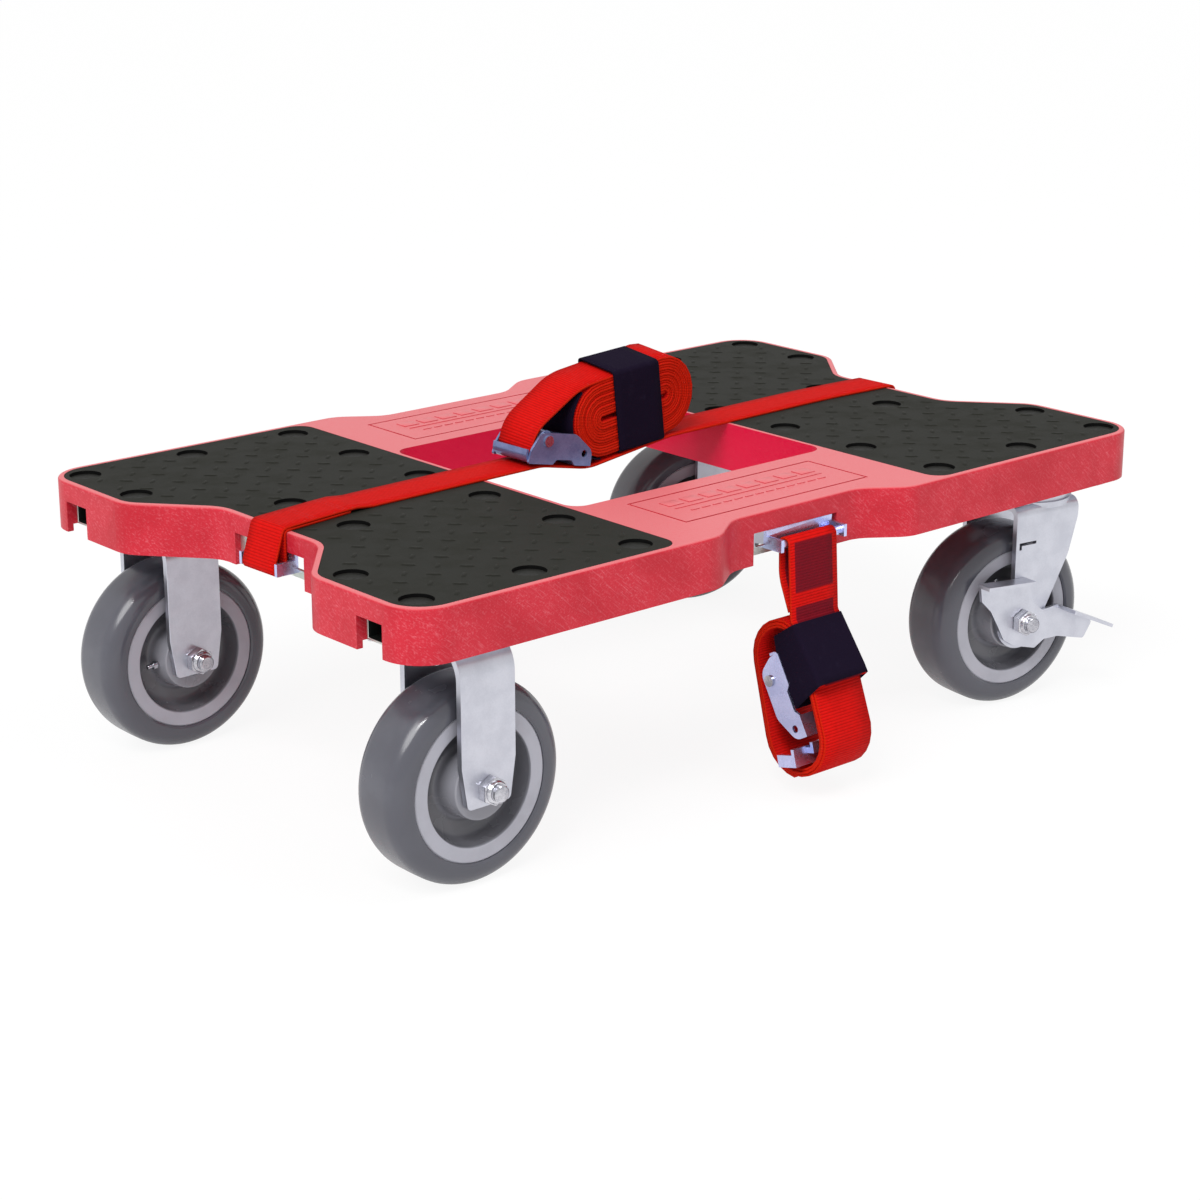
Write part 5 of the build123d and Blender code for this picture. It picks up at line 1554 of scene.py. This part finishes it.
@dataclass
class SideStrap:
    """The strap that hangs from the front track: a sewn loop, the wound hank and its band."""

    middle_x: float = 6.0 * MM
    width: float = 50.0 * MM
    thickness: float = 1.9 * MM
    bar_y: float = -220.0 * MM
    bar_z: float = 198.5 * MM
    bar_radius: float = 3.5 * MM
    bar_gap: float = 1.2 * MM
    bulge: float = -0.5 * MM
    belly_bend: float = 40.0 * MM
    bend_share: float = 0.95
    lead_bends: tuple[float, float] = (5.0 * MM, 10.0 * MM)
    stretch: float = 8.0 * MM
    foot: Triple = (0.0, 2.1 * MM, 6.0 * MM)
    tail_up: float = 7.0 * MM
    hank_y: float = -228.0 * MM
    hank_z: float = 80.0 * MM
    lean: float = 14.6
    half: float = 27.0 * MM
    outer: float = 35.3 * MM
    pitch: float = 2.15 * MM
    turns: float = 4.3
    first: int = 7
    sway: float = 0.8 * MM
    packing: float = 0.94
    hank_stretch: float = 12.0 * MM
    hank_segments: int = 12
    hank_columns: int = 3
    slope: float = 22.0
    belly: float = 10.0 * MM
    sag: float = 4.7 * MM
    lead_run: float = 52.0 * MM
    band_low: float = 8.5 * MM
    band_run: float = 49.0 * MM
    band_thickness: float = 1.4 * MM
    band_gaps: tuple[float, float] = (1.3 * MM, 2.0 * MM)
    band_corner: float = 3.0 * MM
    band_shares: tuple[float, ...] = (0.1, 0.55, 1.0)
    band_side: tuple[tuple[float, float], ...] = ((6.8, -9.7), (1.0, 8.6), (-5.0, 32.6), (-5.0, 46.3))

    def on_hank(self, forward: float, up: float) -> Vector:
        """A point in the hank's middle plane.

        Args:
            forward: distance forward of the hank's middle.
            up: distance above it, along the leaning hank.

        Returns:
            The point in the frame.
        """
        lean = math.radians(self.lean)
        y = self.hank_y - forward * math.cos(lean) + up * math.sin(lean)
        z = self.hank_z + forward * math.sin(lean) + up * math.cos(lean)
        return Vector((self.middle_x, y, z))

    def wound(self, forward: float, up: float) -> Vector:
        """A point of the winding, drawn in where the front slopes and let down below.

        Args:
            forward: distance forward of the hank's middle in an even winding.
            up: distance above it.

        Returns:
            The point in the frame.
        """
        past = max(0.0, up - self.half)
        even = math.sqrt(max(self.outer ** 2 - past ** 2, MM ** 2))
        limit = self.outer - max(0.0, up - self.belly) * math.tan(math.radians(self.slope))
        if forward > 0.0:
            forward *= min(1.0, limit / even)
        return self.on_hank(forward, up - self.sag * min(1.0, max(0.0, -up / self.half)))

    def build(self) -> None:
        """Builds the hanging strap, the hank and the band."""
        CamBuckle("side", PALE_BUCKLE).build()
        self.hanging()
        self.hank()
        self.band()
        paint("cam_pins", FASTENER)

    def lead(self) -> list[Vector]:
        """Points where the hanging strap meets the hank's slope.

        Returns:
            The top of the slope and the corner before the front wall.
        """
        slope = math.radians(self.slope)
        over = self.on_hank(self.outer - self.lead_run * math.sin(slope),
                            self.belly + self.lead_run * math.cos(slope))
        return [over, self.on_hank(self.outer, self.belly)]

    def hanging(self) -> None:
        """Draws the printed strap from its sewn tail round the bar and down onto the hank."""
        stand = self.bar_radius + self.bar_gap
        front = self.bar_y - stand
        rear = self.bar_y + stand
        top = self.bar_z + stand
        foot = self.lead()[0] + Vector(self.foot)
        belly = Vector((self.middle_x, rear + self.bulge, (foot.z + self.bar_z) / 2.0))
        corners = [foot, belly, Vector((self.middle_x, rear, top)), Vector((self.middle_x, front, top)),
                   *self.lead(), self.on_hank(self.outer, self.tail_up)]
        radii = [self.belly_bend, *[self.bend_share * stand] * 2, *self.lead_bends]
        path = divided(rounded(corners, radii), self.stretch)
        made = piece("side_strap_webbing", ribbon(path, ALONG, self.width), PRINTED_WEBBING, DECK_BODY,
                     ["side_strap"])
        thicken(made, self.thickness)
        length_of(path)

    def hank(self) -> None:
        """Winds the hank inwards from its front wall."""
        winding = stadium_winding(self.half, self.outer - self.pitch, self.pitch, self.turns - 1.0,
                                  self.hank_segments)
        path = []
        per_turn = len(winding) / (self.turns - 1.0)
        for i, point in enumerate(winding[self.first:], self.first):
            sway = self.sway * math.sin(2.0 * i / per_turn + 0.5)
            path.append(self.wound(point.y, -point.x) + ALONG * sway)
        path = divided(path, self.hank_stretch)
        made = piece("side_roll_webbing", ribbon(path, ALONG, self.width, self.hank_columns), WIDE_WEBBING,
                     DECK_BODY, ["side_roll"])
        thicken(made, self.packing * self.pitch)
        length_of(path)

    def band_loop(self, inner: tuple[float, float], outer: tuple[float, float]) -> list[Vector]:
        """One closed line round the band.

        Args:
            inner: forward and up of its inner run, in the hank's hollow.
            outer: forward and up of its run over the front.

        Returns:
            The line's points.
        """
        wide = self.width / 2.0 + self.band_gaps[0]
        corners = [self.on_hank(*spot) + ALONG * (side * wide) for side, spot in
                   ((-1, inner), (-1, outer), (1, outer), (1, inner))]
        return rounded(corners, [self.band_corner] * 4, closed=True)

    def band(self) -> None:
        """Draws the wrap band round the hank's front wall, up along its slope and into its hollow."""
        slope = math.radians(self.slope)
        front = self.outer + self.band_gaps[1]
        inner = [(forward * MM, up * MM) for forward, up in self.band_side]
        outer = [(front, self.band_low)]
        for share in self.band_shares:
            run = self.band_run * share
            outer.append((front - run * math.sin(slope), self.belly + run * math.cos(slope)))
        loops = [self.band_loop(*spots) for spots in zip(inner, outer)]
        bm = bmesh.new()
        rings = []
        for loop in loops:
            row = [bm.verts.new(point) for point in loop]
            rings.append([bm.edges.new(pair) for pair in zip(row, row[1:] + row[:1])])
        for one, other in zip(rings, rings[1:]):
            bmesh.ops.bridge_loops(bm, edges=one + other)
        bmesh.ops.recalc_face_normals(bm, faces=bm.faces)
        made = piece("side_band_wrap", bm, WRAP_BAND, DECK_BODY, ["side_band"])
        thicken(made, self.band_thickness)
        length_of(loops[1] + loops[1][:1])


@dataclass
class Studio:
    """Pale floor, soft light and a camera at the photograph's angle."""

    place: Triple = (-1.40784, -1.59581, 0.77975)
    forward: Triple = (0.627628, 0.716199, -0.305192)
    lens: float = 81.614
    floor_size: float = 60.0
    floor_white: float = 0.92
    floor_glow: float = 0.90
    floor_shine: float = 0.5
    sky: float = 0.55
    shine: float = 0.90
    key: float = 2.1
    key_angle: float = 35.0
    key_place: Triple = (-2.0, -2.0, 3.0)
    key_way: Triple = (0.64, 0.22, -0.74)
    aim: Triple = (0.0, 0.0, 0.12)
    boxes: tuple[tuple[str, Triple, float, float, float], ...] = (
        ("strip", (-1.45, -1.35, 2.35), 14.0, 0.62, 0.08), ("top_box", (0.3, -1.1, 2.2), 10.0, 0.9, 0.9))

    def build(self) -> None:
        """Builds the floor, the light and the camera."""
        self.floor()
        self.world()
        self.lamps()
        self.camera()
        bpy.context.scene.view_settings.view_transform = "Standard"

    def floor(self) -> None:
        """Lays a wide floor that the camera sees as nearly white, with a faint shadow."""
        bm = bmesh.new()
        bmesh.ops.create_grid(bm, x_segments=1, y_segments=1, size=self.floor_size / 2.0)
        shader = Shader("floor_paint")
        matt = shader.node("ShaderNodeBsdfDiffuse", {}, {"Color": (*[self.floor_white] * 3, 1.0)})
        glow = shader.node("ShaderNodeEmission", {}, {"Color": WHITE, "Strength": 1.0})
        share = shader.ray("Camera") * self.floor_glow + shader.ray("Glossy") * self.floor_shine
        shader.show(shader.mix(share, matt, glow))
        made = linked("floor", mesh_of("floor", bm, shader.owner))

    def world(self) -> None:
        """Lights the scene evenly, and shows white to the camera and nearly white in reflections."""
        shader = Shader("studio", is_world=True)
        sky, shine, white = (shader.node("ShaderNodeBackground", {}, {"Color": WHITE, "Strength": strength})
                             for strength in (self.sky, self.shine, 1.0))
        seen = shader.ray("Camera").most(shader.ray("Transmission"))
        shader.show(shader.mix(seen, shader.mix(shader.ray("Glossy"), sky, shine), white))
        bpy.context.scene.world = shader.owner

    def lamps(self) -> None:
        """Hangs a broad key light, a bright strip and a soft box."""
        sun = bpy.data.lights.new("key", "SUN")
        sun.energy = self.key
        sun.angle = math.radians(self.key_angle)
        self.hang(sun, self.key_place, Vector(self.key_way))
        for name, spot, power, wide, tall in self.boxes:
            lamp = bpy.data.lights.new(name, "AREA")
            lamp.shape = "RECTANGLE"
            lamp.energy = power
            lamp.size = wide
            lamp.size_y = tall
            self.hang(lamp, spot, Vector(self.aim) - Vector(spot))

    def camera(self) -> None:
        """Sets the camera at the photograph's angle."""
        lens = bpy.data.cameras.new("camera")
        lens.lens = self.lens
        bpy.context.scene.camera = self.hang(lens, self.place, Vector(self.forward))

    def hang(self, data: bpy.types.ID, spot: Triple, way: Vector) -> bpy.types.Object:
        """Puts a lamp or the camera in the scene.

        Args:
            data: the lamp or camera.
            spot: its place.
            way: the direction that it points in.

        Returns:
            Its object.
        """
        made = linked(data.name, data)
        made.location = spot
        made.rotation_euler = way.to_track_quat("-Z", "Y").to_euler()
        return made


def main() -> None:
    """Builds the studio and the dolly's sub-assemblies in order."""
    logging.basicConfig(level=logging.INFO, format="%(name)s: %(message)s")
    Studio().build()
    parts = (Deck(), TreadMats(), StrapTracks(), Wheels(), AxleEnds(), Casters(), TopStrap(), SideStrap())
    for part in parts:
        LOG.info("building %s", type(part).__name__)
        part.build()


if __name__ == "__main__":
    main()
